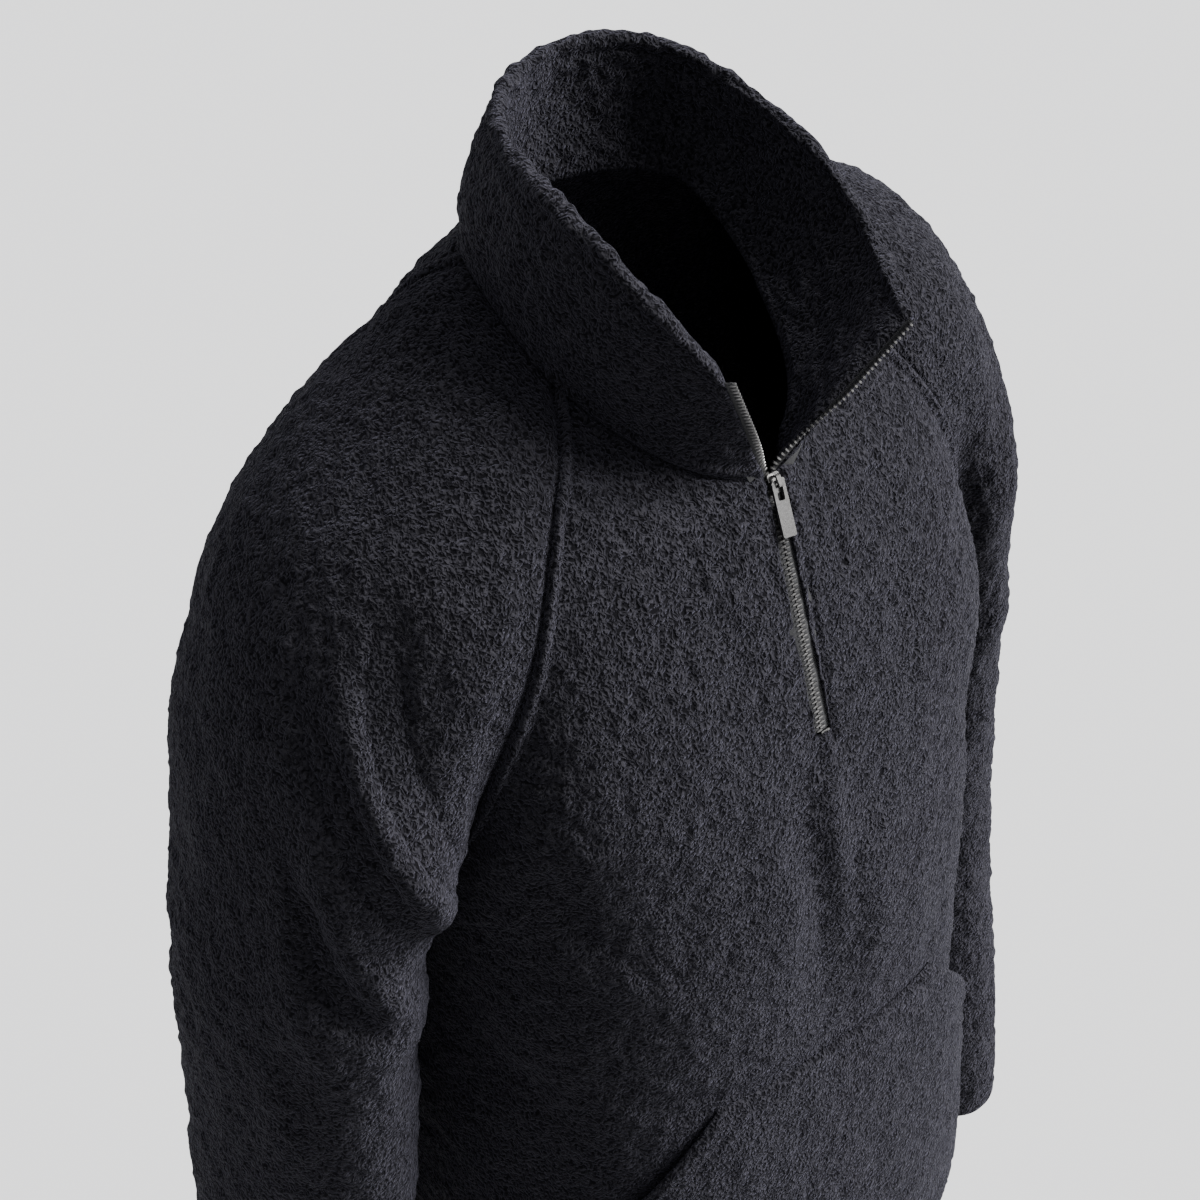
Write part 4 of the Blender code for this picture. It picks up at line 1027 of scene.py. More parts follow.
def panel_heights(piece, base, row_places, column_places, settings):
    """How far the outer face of a panel or sleeve stands out from the plain surface."""
    left, right, top, bottom = distances(base)
    yoke = (row_places <= ROWS_YOKE)[:, None]
    is_sleeve = piece.startswith("sleeve")
    edge = np.minimum(left, right)
    raised = crease_heights(piece, base, row_places, column_places)
    raised = raised + pile_heights(base, settings)
    if piece == "front":
        middle = COLUMNS_HALF_FRONT + 0.5
        reach = POCKET_TOP_CELLS + np.clip(row_places - POCKET_FIRST_ROW, 0, POCKET_SLANT_ROWS)
        more_rows, more_columns = POCKET_MARGIN
        under = ((row_places >= POCKET_FIRST_ROW - more_rows)
                 & (row_places <= POCKET_LAST_ROW + more_rows))
        aside = np.abs(column_places - middle)[None, :]
        covered = under[:, None] & (aside < reach[:, None] + more_columns)
        raised = raised * np.where(covered, UNDER_POCKET, 1.0)
    near = np.minimum(np.minimum(edge, top), bottom)
    raised = raised * np.clip(near / EDGE_FADE, 0.0, 1.0)
    raised = raised * np.where(yoke, 1.0 + line_height(edge, YOKE_SMOOTHING), 1.0)
    if is_sleeve:
        beyond = np.clip(edge / BESIDE_FADE, 0.0, 1.0) * bell(edge, *BESIDE_SEAM)
        raised = raised + line_height(edge, SLEEVE_SEAM)
        raised = raised - np.where(yoke, BESIDE_RAGLAN, BESIDE_UNDERARM) * beyond
    else:
        rise = BAND_FOOT + (1.0 - BAND_FOOT) * soft_step(edge, *BAND_RISE)
        rise = rise * (1.0 - soft_step(edge, *BAND_FALL))
        band = settings.seam_height * rise + line_height(edge, RAGLAN_STITCHES)
        raised = raised + line_height(edge, PANEL_SEAM)
        raised = raised + np.where(yoke, band, line_height(edge, SIDE_ALLOWANCE))
    raised = raised + line_height(top, NECK_ALLOWANCE)
    raised = raised + line_height(bottom, HEM_EDGE) + line_height(bottom, HEM_STITCHES)
    if piece == "front":
        from_slot = np.abs(np.abs(base[..., 0]) - ZIP_SLOT_HALF)
        beside = (row_places <= ZIP_END_ROW + SLOT_MARGIN)[:, None]
        slot = line_height(from_slot, SLOT_EDGE) + line_height(from_slot, SLOT_ROLL)
        raised = raised + np.where(beside, slot, 0.0)
    return raised


def declare_cloth(piece, name):
    """The piece rides on the garment in place of its solid, which is hidden."""
    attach(piece, "garment")
    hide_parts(name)


def seam_normals(garment, piece, base, row_places, column_places, closed_from, wrap_row):
    """The piece's own normals, which turn into those it shares with its neighbours at a seam."""
    own = surface_normals(base, closed_from)
    shared = refine(garment.normals[garment.grids[piece]], row_places, column_places, wrap_row)
    left, right, top = distances(base)[:3]
    near = np.minimum(np.minimum(left, right), top)
    if closed_from is not None:
        near[closed_from:] = 1.0
    return unit(own + (shared - own) * bell(near, 0.0, SHARED_REACH)[..., None])


def make_panel(garment, piece, settings):
    """A front, back or sleeve."""
    knots = garment.points[garment.grids[piece]]
    last = knots.shape[1] - 1
    middle = COLUMNS_HALF_FRONT
    seams = (0, middle, middle + 1, last) if piece == "front" else (0, last)
    row_seams = (0, knots.shape[0] - 1)
    row_places = stations(knots.shape[0], row_seams)
    column_places = stations(knots.shape[1], seams)
    is_sleeve = piece.startswith("sleeve")
    wrap_row, closed_from = None, None
    if is_sleeve:
        wrap_row = ROWS_YOKE
        closed_from = int(np.searchsorted(row_places, wrap_row - 1e-6))
    base = refine(knots, row_places, column_places, wrap_row)
    cut = {(r, middle) for r in range(ZIP_END_ROW)} if piece == "front" else set()
    raised = panel_heights(piece, base, row_places, column_places, settings)
    normals = seam_normals(garment, piece, base, row_places, column_places, closed_from,
                           wrap_row)
    left, right = distances(base)[:2]
    edge = np.minimum(left, right)
    # Beside a raglan seam on the body the pile is pressed flat and painted lighter: a painted
    # highlight.
    band = soft_step(edge, *HIGHLIGHT_RISE) * (1.0 - soft_step(edge, *HIGHLIGHT_FALL))
    seam_highlight = band * (row_places <= ROWS_YOKE)[:, None] * (0.0 if is_sleeve else 1.0)
    made = shell("cloth_" + piece, base, normals, raised, row_places, column_places, cut,
                 closed_from, PANEL_DEPTH, pile_material("pile_" + piece, settings), seam_highlight)
    declare_cloth(made, piece)


# ---------------------------------------------------------------- collar and pocket

def make_collar_piece(garment, settings):
    """The standing collar: both faces of the turned-over cloth, and its rolled rim."""
    rows, outward = collar_surface(garment)
    column_places = np.arange((rows.shape[1] - 1) * COLLAR_ACROSS + 1) / COLLAR_ACROSS
    level_places = np.linspace(0.0, COLLAR_ROWS, COLLAR_LINES)
    face = refine(rows, level_places, column_places)
    normal = unit(refine(outward, level_places, column_places))
    last = rows.shape[1] - 1
    from_zip = np.minimum(column_places, last - column_places) / COLLAR_THIN_COLUMNS
    thickness = WALL + (COLLAR_WALL - WALL) * np.clip(from_zip, 0.0, 1.0) ** 0.5
    left, right, height, below_rim = distances(face)
    from_end = np.minimum(left, right)
    fade = np.clip(np.minimum(height, from_end) / COLLAR_FADE, 0.0, 1.0)
    noise = SoftNoise(COLLAR_SEED)
    outer_up = pile_heights(face, settings) * fade
    outer_up += line_height(height, COLLAR_FOOT)
    outer_up += line_height(below_rim, RIM_STITCHES_OUTSIDE)
    outer_up += layered(noise, face, OUTSIDE_WAVES) * fade
    back_face = face - normal * thickness[None, :, None]
    inner_up = pile_heights(back_face + 1.0, settings, INSIDE_SEED) * fade
    inner_up += line_height(below_rim, RIM_STITCHES_INSIDE)
    inner_up += layered(noise, back_face, INSIDE_WAVES) * fade
    outside = face + normal * outer_up[..., None]
    inside = back_face - normal * inner_up[..., None]
    sink = face[1] - face[0]
    sink *= FOOT_DEPTH / np.linalg.norm(sink, axis=1, keepdims=True)
    outside[0] -= sink + normal[0] * FOOT_TUCK
    inside[0] -= sink
    radius = thickness / 2.0
    top = (face[-1] + back_face[-1]) / 2.0
    up = unit(face[-1] - face[-2])
    arch = []
    for angle in np.linspace(0.0, math.pi, RIM_ARC_STEPS + 2)[1:-1]:
        over, rise = normal[-1] * math.cos(angle), up * math.sin(angle)
        point = top + (over + rise * RIM_SWELL) * radius[:, None]
        lump = pile_heights(point, settings) * RIM_PILE
        lump = lump * np.clip(from_end[-1] / COLLAR_FADE, 0.0, 1.0)
        direction = over + rise
        arch.append(point + direction * lump[:, None])
    ring = np.concatenate([outside, np.array(arch), inside[::-1]])
    made = tube("cloth_collar", ring, pile_material("pile_collar", settings))
    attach(made, "garment")
    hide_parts("collar")


def make_pocket_piece(garment, settings):
    """The pouch, sewn on along its top, sides and bottom, open at its two slanted mouths."""
    knots = garment.points[garment.grids["front"]]
    row_places = stations(POCKET_LAST_ROW - POCKET_FIRST_ROW + 1,
                          (0, POCKET_LAST_ROW - POCKET_FIRST_ROW))
    last_column = POCKET_COLUMNS - 1
    side_places = stations(POCKET_COLUMNS, (0, last_column))
    share = side_places / last_column * 2.0 - 1.0
    rows = np.repeat((row_places + POCKET_FIRST_ROW)[:, None], len(share), axis=1)
    reach = POCKET_TOP_CELLS + 0.5 + np.clip(row_places, 0, POCKET_SLANT_ROWS)
    columns = COLUMNS_HALF_FRONT + 0.5 + reach[:, None] * share[None, :]
    panel = read_grid(knots, rows, columns)
    normals = surface_normals(panel)
    level = row_places / row_places[-1]
    slant = np.clip(row_places / POCKET_SLANT_ROWS, 0.0, 1.0)
    side = np.abs(share)[None, :] ** 4
    lift = (POCKET_PUFF * np.sin(math.pi * level))[:, None] * (1.0 - side)
    lift = lift + (POCKET_MOUTH * np.sin(math.pi * slant))[:, None] * side
    base = panel + normals * (POCKET_LIFT + POCKET_WALL + lift)[..., None]
    left, right, top, bottom = distances(base)
    edge = np.minimum(left, right)
    sewn_side = (row_places >= POCKET_SLANT_ROWS)[:, None]
    near = np.minimum(np.minimum(edge, top), bottom)
    raised = pile_heights(base, settings) * np.clip(near / EDGE_FADE, 0.0, 1.0)
    raised = raised + line_height(top, POCKET_SEWN) + line_height(bottom, POCKET_SEWN)
    raised = raised + np.where(sewn_side, line_height(edge, POCKET_SEWN),
                               line_height(edge, POCKET_MOUTH_EDGE))
    raised = raised + line_height(top, POCKET_TOP_STITCHES)
    raised = raised + np.where(sewn_side, 0.0, line_height(edge, POCKET_MOUTH_STITCHES))
    made = shell("cloth_pocket", base, surface_normals(base), raised, row_places, side_places,
                 set(), None, POCKET_DEPTH, pile_material("pile_pocket", settings))
    declare_cloth(made, "pouch_pocket")


# ---------------------------------------------------------------- zip pieces

TAPE_FROM = -0.0008          # across the zip: from beside the teeth
TAPE_TO = 0.0104             # to the edge that is sewn in under the cloth
TAPE_THICKNESS = 0.0006
TAPE_SHARP, TOOTH_SHARP = 40, 35    # edges sharper than this many degrees stay crisp
TAPE_STEP = 0.0015           # between the places worked out along it
TAPE_SECTION = ((TAPE_FROM, 0.0003), (0.0012, 0.0003), (0.0032, -0.0002), (TAPE_TO, -0.0012))
ZIP_FINENESS = 16            # places worked out between two rows of the zip's path
ZIP_END_GAP = 0.0006         # left free at the path's upper end

# A tooth: sections across the zip, with their place, their length and their height as shares of
# the tooth's, and the outline of each section.
TOOTH_FIRST = 0.0008         # from the zip's lower end to the first tooth
TOOTH_LENGTH_SHARE = 0.26    # half a tooth's length, as a share of the pitch
TOOTH_HEIGHT_SHARE = 0.46    # half a tooth's height, as a share of the chain's thickness
TOOTH_SECTIONS = ((-0.0024, 0.62, 0.80), (-0.0019, 0.95, 1.0), (-0.0004, 1.0, 1.0),
                  (0.0010, 0.72, 0.92), (0.0014, 0.50, 0.70))
TOOTH_PROFILE = ((-1.0, -0.55), (-0.55, -1.0), (0.55, -1.0), (1.0, -0.55),
                 (1.0, 0.55), (0.55, 1.0), (-0.55, 1.0), (-1.0, 0.55))

HINGE_PLACE = (0.0, -0.113718, -0.036169)    # the pull tab's hinge, as in the part's record
TAB_BAR_REACH = 0.0030       # how far from the hinge the tab's end bar stays straight
TAB_SWING = 9.0              # degrees that the tab hangs aside from the zip's line below it
TAB_ROUNDING = 0.0003        # of its edges


def zip_line(garment, side, spacing, start=0.0):
    """Places along one side of the zip, evenly spaced, with their directions."""
    rows, outward = collar_surface(garment)
    path, normals, across = zip_path(garment, rows, outward, side)
    places = np.linspace(0.0, len(path) - 1, (len(path) - 1) * ZIP_FINENESS + 1)
    weights = knot_weights(len(path), places)
    path, normals, across = weights @ path, weights @ normals, weights @ across
    length = running_length(path)
    wanted = np.arange(start, length[-1] - ZIP_END_GAP, spacing)
    read = [np.stack([np.interp(wanted, length, line[:, k]) for k in range(3)], axis=1)
            for line in (path, normals, across)]
    along = unit(np.gradient(read[0], axis=0))
    normal = unit(read[1] - along * np.sum(read[1] * along, axis=1, keepdims=True))
    out = np.cross(along, normal)
    out *= np.sign(np.sum(out * read[2], axis=1, keepdims=True))
    return read[0], normal, out, along


def make_tape(garment, side):
    """The woven tape that carries one side's teeth."""
    path, normal, out, _ = zip_line(garment, side, TAPE_STEP)
    upper = [path + out * a + normal * h for a, h in TAPE_SECTION]
    lower = [point - normal * TAPE_THICKNESS for point in upper]
    made = tube("zip_tape_" + side, np.array(upper + lower[::-1]),
                tape_material("woven_tape_" + side))
    made.data.set_sharp_from_angle(angle=math.radians(TAPE_SHARP))
    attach(made, "garment")
    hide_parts("zip_" + side)


def make_teeth(garment, side, settings):
    """One side's metal teeth, as one mesh: each a rounded bar with a narrower head."""
    pitch = settings.tooth_pitch
    start = TOOTH_FIRST + (pitch / 2.0 if side == "left" else 0.0)
    path, normal, out, along = zip_line(garment, side, pitch, start)
    half_along = pitch * TOOTH_LENGTH_SHARE
    half_high = CHAIN_THICKNESS * TOOTH_HEIGHT_SHARE
    corners = len(TOOTH_PROFILE)
    points, faces = [], []
    for p, n, o, a in zip(path, normal, out, along):
        first = len(points)
        for across, narrow, low in TOOTH_SECTIONS:
            for x, h in TOOTH_PROFILE:
                points.append(p + o * across + a * x * half_along * narrow
                              + n * h * half_high * low)
        for s in range(first, first + corners * (len(TOOTH_SECTIONS) - 1), corners):
            for k in range(corners):
                m = (k + 1) % corners
                faces.append([s + k, s + m, s + corners + m, s + corners + k])
        for end in (first, first + corners * (len(TOOTH_SECTIONS) - 1)):
            faces.append([end + k for k in range(corners)])
    made = new_object("zip_teeth_" + side, points, faces,
                      metal_material("worn_metal_" + side, settings))
    made.data.set_sharp_from_angle(angle=math.radians(TOOTH_SHARP))
    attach(made, "garment")
    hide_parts("zip_" + side)


def make_worn_tab(settings):
    """The pull tab with softened edges. Below its end bar it hangs aside from the zip's line."""
    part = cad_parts["pull_tab"]
    made = place_object("pull_tab_worn", part.data.copy())
    place = part.matrix_world.copy()
    garment = shared_surface()
    top, low = garment.points[garment.grids["front"][:2, COLUMNS_HALF_FRONT]]
    down = Vector((0.0, *(low - top)[1:])).normalized()
    out = down.cross(Vector((1.0, 0.0, 0.0))).normalized()
    if out.y > 0.0:
        out = -out
    hinge = Vector(HINGE_PLACE)
    turn = Matrix.Rotation(-math.radians(TAB_SWING), 3, out)
    made.matrix_world = place
    for vertex in made.data.vertices:
        reach = place @ vertex.co - hinge
        if reach.dot(down) > TAB_BAR_REACH:
            vertex.co = place.inverted() @ (hinge + turn @ reach)
    made.data.materials.clear()
    made.data.materials.append(metal_material("worn_metal_pull_tab", settings))
    edge = made.modifiers.new("soft_edges", "BEVEL")
    edge.width = TAB_ROUNDING
    edge.segments = 2
    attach(made, "tab")
    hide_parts("pull_tab")


# ---------------------------------------------------------------- materials

# Sizes of the pile's patterns, as shares of the curl size.
SWIRL_SIZE = 2.6             # what bends the curls about
KNOT_SIZE = 0.45
WORM_SIZE = 0.74             # long curls between the knots
CLUMP_SIZE = 0.60
WORM_OFFSET = (4.0, 2.8, 1.2)    # so that the worms don't follow the knots
CURL_RELIEF = 0.40           # depth of the curls' relief

# Scales of the other patterns, in repeats to the metre.
TONE_SCALE = 22.0            # lighter and darker places of the pile
RIB_SCALE, GRAIN_SCALE = 520.0, 900.0    # of the tape
RUBBED_SCALE, SCRATCH_SCALE = 420.0, 5200.0    # of the metal
SCRATCH_STRETCH = (1.0, 1.0, 0.12)
DULL_SHARE = 0.45            # the metal's dull places, as a share of its bright ones
MOTTLE_SCALE = 3.0           # of the floor
SHEEN_TINT = (0.76, 0.74, 0.98, 1.0)
TAPE_DARK, TAPE_LIGHT = (0.006, 0.006, 0.007), (0.030, 0.030, 0.034)


class Nodes:
    """Short calls for laying out a material's nodes."""

    def __init__(self, name):
        self.material = bpy.data.materials.new(name)
        self.material.use_nodes = True
        self.tree = self.material.node_tree
        self.shader = self.tree.nodes["Principled BSDF"]
        self.place = self.add("ShaderNodeTexCoord").outputs["Object"]

    def add(self, kind, **values):
        """A new node with some of its values set."""
        node = self.tree.nodes.new(kind)
        for key, value in values.items():
            setattr(node, key, value)
        return node

    def link(self, source, target):
        """Joins two sockets."""
        self.tree.links.new(source, target)

    def feed(self, inputs, values):
        """Gives the inputs of those names or numbers plain values or other nodes' outputs."""
        for key, value in values.items():
            if isinstance(value, (int, float, tuple)):
                inputs[key].default_value = value
            else:
                self.link(value, inputs[key])

    def finish(self, **values):
        """Feeds the surface itself and gives the finished material."""
        self.feed(self.shader.inputs, {key.replace("_", " "): v for key, v in values.items()})
        return self.material

    def math(self, operation, *values):
        """A calculation with numbers."""
        node = self.add("ShaderNodeMath", operation=operation)
        self.feed(node.inputs, dict(enumerate(values)))
        return node.outputs[0]

    def vector(self, operation, *values):
        """A calculation with vectors."""
        node = self.add("ShaderNodeVectorMath", operation=operation)
        self.feed(node.inputs, dict(enumerate(values)))
        return node.outputs[0]

    def noise(self, vector, scale, detail=1.0, roughness=0.5):
        """A noise texture."""
        node = self.add("ShaderNodeTexNoise")
        self.feed(node.inputs, {"Vector": vector, "Scale": scale, "Detail": detail,
                                "Roughness": roughness})
        return node.outputs

    def spread(self, value, low, high, to_low, to_high):
        """A value taken smoothly from one range to another."""
        node = self.add("ShaderNodeMapRange", interpolation_type="SMOOTHSTEP")
        self.feed(node.inputs, {"Value": value, "From Min": low, "From Max": high,
                                "To Min": to_low, "To Max": to_high})
        return node.outputs["Result"]

    def mix(self, factor, first, second):
        """A colour between two others. Sockets 6, 7 and 2 are the node's colours."""
        node = self.add("ShaderNodeMix", data_type="RGBA")
        self.feed(node.inputs, {"Factor": factor, 6: (*first, 1.0), 7: (*second, 1.0)})
        return node.outputs[2]

    def bump(self, height, strength, distance):
        """Fine relief on the surface."""
        node = self.add("ShaderNodeBump")
        self.feed(node.inputs, {"Height": height, "Strength": strength, "Distance": distance})
        return node.outputs["Normal"]


def pile_material(name, settings):
    """Curly pile: small knots and worm-like curls, with painted shade in the gaps between them."""
    nodes = Nodes(name)
    size = settings.curl_size
    swirl = nodes.noise(nodes.place, 1.0 / (size * SWIRL_SIZE))["Color"]
    swirl = nodes.vector("SUBTRACT", swirl, (0.5, 0.5, 0.5))
    turned = nodes.vector("MULTIPLY_ADD", swirl, (size, size, size), nodes.place)
    knot = nodes.noise(turned, 1.0 / (size * KNOT_SIZE), 0.5)["Fac"]
    moved = nodes.vector("ADD", turned, WORM_OFFSET)
    worm = nodes.noise(moved, 1.0 / (size * WORM_SIZE), 0.5)["Fac"]
    worm = nodes.math("ABSOLUTE", nodes.math("SUBTRACT", worm, 0.5))
    strand = nodes.math("MAXIMUM", nodes.spread(knot, 0.38, 0.66, 0.0, 1.0),
                        nodes.spread(worm, 0.0, 0.12, 0.85, 0.0))
    clump = nodes.noise(nodes.place, 1.0 / (size * CLUMP_SIZE))["Fac"]
    height = nodes.math("MULTIPLY", strand, nodes.spread(clump, 0.34, 0.60, 0.45, 1.0))
    tone = nodes.spread(nodes.noise(nodes.place, TONE_SCALE, 3.0)["Fac"], 0.3, 0.7, 0.82, 1.12)
    # Where the pile is pressed flat beside a seam, its colour is lifted towards the pile colour: a
    # painted highlight with less painted gap shade.
    painted_highlight = nodes.add("ShaderNodeAttribute", attribute_name="painted_seam_highlight").outputs["Fac"]
    lifted = nodes.math("MULTIPLY_ADD", painted_highlight, 1.3, 1.0)
    amount = nodes.math("MULTIPLY", nodes.math("MULTIPLY", height, tone), lifted)
    # The colour runs from the gap colour on the low places, which is painted shade deep between
    # the curls, to the pile colour on the curls.
    return nodes.finish(
        Base_Color=nodes.mix(amount, settings.gap_shade_colour, settings.pile_colour),
        Roughness=nodes.spread(height, 0.0, 1.0, 1.0, 0.78),
        Normal=nodes.bump(height, 1.0, size * CURL_RELIEF),
        Specular_IOR_Level=0.12, Sheen_Weight=settings.sheen, Sheen_Roughness=0.45,
        Sheen_Tint=SHEEN_TINT)


def tape_material(name):
    """Dark woven tape with fine ribs."""
    nodes = Nodes(name)
    weave = nodes.add("ShaderNodeTexWave", wave_type="BANDS", bands_direction="Z")
    nodes.feed(weave.inputs, {"Vector": nodes.place, "Scale": RIB_SCALE, "Distortion": 1.2})
    grain = nodes.noise(nodes.place, GRAIN_SCALE, 2.0)["Fac"]
    height = nodes.math("MULTIPLY", weave.outputs["Fac"], grain)
    return nodes.finish(
        Base_Color=nodes.mix(height, TAPE_DARK, TAPE_LIGHT),
        Roughness=nodes.spread(grain, 0.2, 0.8, 0.95, 0.7),
        Normal=nodes.bump(height, 0.6, 0.0003),
        Sheen_Weight=0.1)


def metal_material(name, settings):
    """Gunmetal that is rubbed bright, with fine scratches and dull places."""
    nodes = Nodes(name)
    rubbed = nodes.noise(nodes.place, RUBBED_SCALE, 4.0, 0.6)["Fac"]
    stretched = nodes.vector("MULTIPLY", nodes.place, SCRATCH_STRETCH)
    scratch = nodes.noise(stretched, SCRATCH_SCALE, 2.0)["Fac"]
    bright = tuple(settings.metal_colour)
    dull = tuple(c * DULL_SHARE for c in bright)
    return nodes.finish(
        Base_Color=nodes.mix(nodes.spread(rubbed, 0.35, 0.68, 0.0, 1.0), dull, bright),
        Roughness=nodes.math("MULTIPLY_ADD", scratch, 0.22,
                             nodes.spread(rubbed, 0.3, 0.7, 0.34, 0.16)),
        Normal=nodes.bump(scratch, 0.25, 0.0001),
        Metallic=1.0)


def floor_material(settings):
    """A plain pale floor, very slightly mottled."""
    nodes = Nodes("pale_floor")
    mottle = nodes.noise(nodes.place, MOTTLE_SCALE, 2.0)["Fac"]
    colour = tuple(settings.floor_colour)
    return nodes.finish(
        Base_Color=nodes.mix(mottle, tuple(c * 0.99 for c in colour), colour),
        Roughness=0.9, Specular_IOR_Level=0.1)


# ---------------------------------------------------------------- stage

VIEW_AZIMUTH = -42.0         # degrees round from straight ahead, to the wearer's right
VIEW_ELEVATION = 36.83       # and up
VIEW_DISTANCE = 1.438
FOCAL_PIXELS = 2700.0        # the lens, in the photograph's pixels
IMAGE_SIDE = 1200.0          # pixels
SENSOR_WIDTH = 36.0          # millimetres
ORIGIN_PIXEL = (628.3, 335.3)    # where the neck's middle lies in the photograph
KEY_PLACE = (1.65, -1.15, 1.65)
KEY_SPREAD = 32.0            # degrees, which makes its shadows soft
SKY_COLOUR = (0.94, 0.95, 1.0, 1.0)
SKY_LOW, SKY_HIGH = -0.35, 0.45    # how far up it is looked: from the least light to the most
SKY_BELOW = 0.10             # the least light, as a share of the most


def make_camera():
    """The photograph's own view."""
    turn = math.radians(VIEW_AZIMUTH)
    rise = math.radians(VIEW_ELEVATION)
    forward = Vector((-math.sin(turn) * math.cos(rise), math.cos(turn) * math.cos(rise),
                      -math.sin(rise)))
    right = Vector((math.cos(turn), math.sin(turn), 0.0))
    up = right.cross(forward)
    aside, below = ((pixel - IMAGE_SIDE / 2.0) / FOCAL_PIXELS * VIEW_DISTANCE
                    for pixel in ORIGIN_PIXEL)
    place = -(forward * VIEW_DISTANCE + right * aside - up * below)
    data = bpy.data.cameras.new("photo_camera")
    data.sensor_width = SENSOR_WIDTH
    data.lens = FOCAL_PIXELS / IMAGE_SIDE * SENSOR_WIDTH
    data.clip_end = 60.0
    camera = place_object("photo_camera", data)
    turned = Matrix((right, up, -forward)).transposed()
    camera.matrix_world = Matrix.Translation(place) @ turned.to_4x4()
    bpy.context.scene.camera = camera


def soft_light(name, place, strength, spread):
    """A far, wide lamp that shines from a place towards the pullover."""
    data = bpy.data.lights.new(name, "SUN")
    data.angle = math.radians(spread)
    data.energy = strength
    lamp = place_object(name, data)
    lamp.location = place
    lamp.rotation_euler = (-Vector(place)).to_track_quat("-Z", "Y").to_euler()


def make_floor(settings):
    """A wide pale floor, which throws no light back onto the cloth."""
    mesh = bpy.data.meshes.new("floor")
    shape = bmesh.new()
    bmesh.ops.create_grid(shape, x_segments=8, y_segments=8, size=settings.floor_size / 2.0)
    shape.to_mesh(mesh)
    shape.free()
    mesh.transform(Matrix.Translation((0.0, 0.0, settings.floor_height)))
    mesh.materials.append(floor_material(settings))
    floor = place_object("floor", mesh)
    floor.visible_diffuse = False


def light_world(settings):
    """Even light from all round, with little of it from below."""
    world = bpy.data.worlds.new("soft_studio")
    world.use_nodes = True
    tree = world.node_tree
    sky = tree.nodes["Background"]
    sky.inputs["Color"].default_value = SKY_COLOUR
    direction = tree.nodes.new("ShaderNodeTexCoord")
    parts = tree.nodes.new("ShaderNodeSeparateXYZ")
    rise = tree.nodes.new("ShaderNodeMapRange")
    for key, value in (("From Min", SKY_LOW), ("From Max", SKY_HIGH),
                       ("To Min", settings.fill * SKY_BELOW), ("To Max", settings.fill)):
        rise.inputs[key].default_value = value
    tree.links.new(direction.outputs["Generated"], parts.inputs["Vector"])
    tree.links.new(parts.outputs["Z"], rise.inputs["Value"])
    tree.links.new(rise.outputs["Result"], sky.inputs["Strength"])
    bpy.context.scene.world = world


# ---------------------------------------------------------------- settings, operators, panel

class PulloverCloth(bpy.types.PropertyGroup):
    """The pile and the seams"""
    pile_colour: FloatVectorProperty(
        name="Pile colour", description="Colour of the curls", subtype="COLOR", size=3,
        min=0.0, max=1.0, default=(0.0265, 0.0254, 0.0312))
    # The gap colour is painted shade: the dark between the curls stands in for their shadow on one
    # another.
    gap_shade_colour: FloatVectorProperty(
        name="Gap colour", description="Colour deep between the curls", subtype="COLOR", size=3,
        min=0.0, max=1.0, default=(0.0030, 0.0028, 0.0038))
    curl_size: FloatProperty(
        name="Curl size", description="Distance from one curl to the next", unit="LENGTH",
        min=0.001, max=0.02, default=0.0044, precision=4)
    curl_height: FloatProperty(
        name="Curl height", description="How far the clumps of curls stand out", unit="LENGTH",
        min=0.0, max=0.004, default=0.0011, precision=4)
    seam_height: FloatProperty(
        name="Seam height", description="How far the raglan seams stand out on the body",
        unit="LENGTH", min=0.0, max=0.006, default=0.0024, precision=4)
    sheen: FloatProperty(
        name="Sheen", description="Soft light on the pile at a shallow angle", subtype="FACTOR",
        min=0.0, max=1.0, default=0.10)


class PulloverZip(bpy.types.PropertyGroup):
    """The metal zip"""
    tooth_pitch: FloatProperty(
        name="Tooth pitch", description="Distance from one tooth to the next on one side",
        unit="LENGTH", min=0.001, max=0.006, default=0.0030, precision=4)
    metal_colour: FloatVectorProperty(
        name="Metal colour", description="Colour of the rubbed metal", subtype="COLOR", size=3,
        min=0.0, max=1.0, default=(0.23, 0.226, 0.222))


class PulloverStage(bpy.types.PropertyGroup):
    """The floor and the lights"""
    floor_colour: FloatVectorProperty(
        name="Floor colour", description="Colour of the floor", subtype="COLOR", size=3,
        min=0.0, max=1.0, default=(0.80, 0.80, 0.80))
    floor_height: FloatProperty(
        name="Floor height", description="Height of the floor below the neck", unit="LENGTH",
        default=-1.45)
    floor_size: FloatProperty(
        name="Floor size", description="Length of one side of the floor", unit="LENGTH",
        min=1.0, max=200.0, default=40.0)
    key_strength: FloatProperty(
        name="Key light", description="Strength of the wide soft light", min=0.0, default=8.9)
    fill: FloatProperty(
        name="Fill light", description="Strength of the even light from all round", min=0.0,
        default=0.52)


SURFACES = {}


def shared_surface():
    """The pullover's surface, worked out once."""
    if "pullover" not in SURFACES:
        SURFACES["pullover"] = pullover_surface()
    return SURFACES["pullover"]


class PULLOVER_OT_panels(bpy.types.Operator):
    """Make the front, back and both sleeves"""
    bl_idname = "pullover.panels"
    bl_label = "Make Panels and Sleeves"

    def execute(self, context):
        for piece in ("front", "back", "sleeve_right", "sleeve_left"):
            make_panel(shared_surface(), piece, context.scene.pullover_cloth)
        return {"FINISHED"}


class PULLOVER_OT_collar(bpy.types.Operator):
    """Make the standing collar with its rolled rim"""
    bl_idname = "pullover.collar"
    bl_label = "Make Collar"

    def execute(self, context):
        make_collar_piece(shared_surface(), context.scene.pullover_cloth)
        return {"FINISHED"}


class PULLOVER_OT_pocket(bpy.types.Operator):
    """Make the pouch pocket on the front"""
    bl_idname = "pullover.pocket"
    bl_label = "Make Pouch Pocket"

    def execute(self, context):
        make_pocket_piece(shared_surface(), context.scene.pullover_cloth)
        return {"FINISHED"}


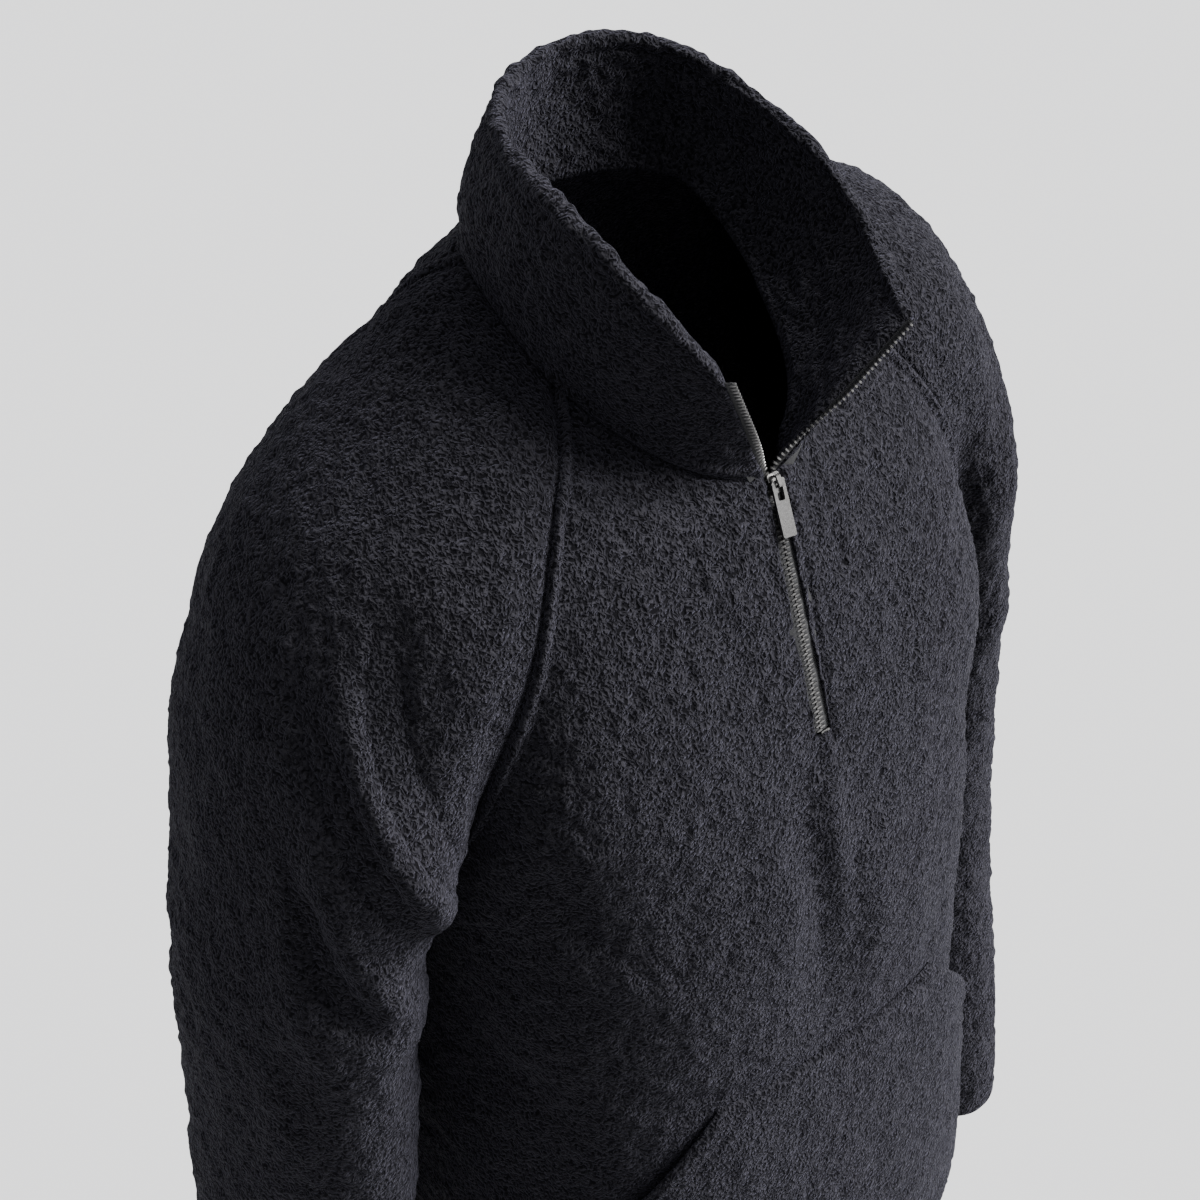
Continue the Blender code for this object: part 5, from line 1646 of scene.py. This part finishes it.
class PULLOVER_OT_zip(bpy.types.Operator):
    """Make the zip's tapes and teeth, and finish its slider, pull tab and stop in metal"""
    bl_idname = "pullover.zip"
    bl_label = "Make Zip"

    def execute(self, context):
        settings = context.scene.pullover_zip
        for side in ("right", "left"):
            make_tape(shared_surface(), side)
            make_teeth(shared_surface(), side, settings)
        make_worn_tab(settings)
        for node in ("slider", "zip_stop"):
            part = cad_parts[node]
            surface = metal_material("worn_metal_" + node, settings)
            for slot in part.material_slots:
                slot.material = surface
        return {"FINISHED"}


class PULLOVER_OT_stage(bpy.types.Operator):
    """Make the floor, the lights and the camera"""
    bl_idname = "pullover.stage"
    bl_label = "Make Stage"

    def execute(self, context):
        settings = context.scene.pullover_stage
        make_camera()
        make_floor(settings)
        light_world(settings)
        soft_light("key_light", KEY_PLACE, settings.key_strength, KEY_SPREAD)
        return {"FINISHED"}


class PULLOVER_PT_panel(bpy.types.Panel):
    """The pullover's pieces and settings"""
    bl_label = "Pullover"
    bl_idname = "PULLOVER_PT_panel"
    bl_space_type = "VIEW_3D"
    bl_region_type = "UI"
    bl_category = "Pullover"

    def draw(self, context):
        layout = self.layout
        scene = context.scene
        for settings in (scene.pullover_cloth, scene.pullover_zip, scene.pullover_stage):
            box = layout.box()
            for name in settings.__annotations__:
                box.prop(settings, name)
        for operator in OPERATORS:
            layout.operator(operator.bl_idname)


GROUPS = (("pullover_cloth", PulloverCloth), ("pullover_zip", PulloverZip),
          ("pullover_stage", PulloverStage))
OPERATORS = (PULLOVER_OT_panels, PULLOVER_OT_collar, PULLOVER_OT_pocket, PULLOVER_OT_zip,
             PULLOVER_OT_stage)


def register():
    """Registers the settings, the operators and the panel."""
    for name, group in GROUPS:
        bpy.utils.register_class(group)
        setattr(bpy.types.Scene, name, PointerProperty(type=group))
    for item in (*OPERATORS, PULLOVER_PT_panel):
        bpy.utils.register_class(item)


def unregister():
    """Takes them all away again."""
    for item in (PULLOVER_PT_panel, *OPERATORS[::-1]):
        bpy.utils.unregister_class(item)
    for name, group in GROUPS[::-1]:
        delattr(bpy.types.Scene, name)
        bpy.utils.unregister_class(group)


def main():
    """Makes the pullover and its stage."""
    register()
    bpy.ops.pullover.panels()
    bpy.ops.pullover.collar()
    bpy.ops.pullover.pocket()
    bpy.ops.pullover.zip()
    bpy.ops.pullover.stage()


if __name__ == "__main__":
    main()
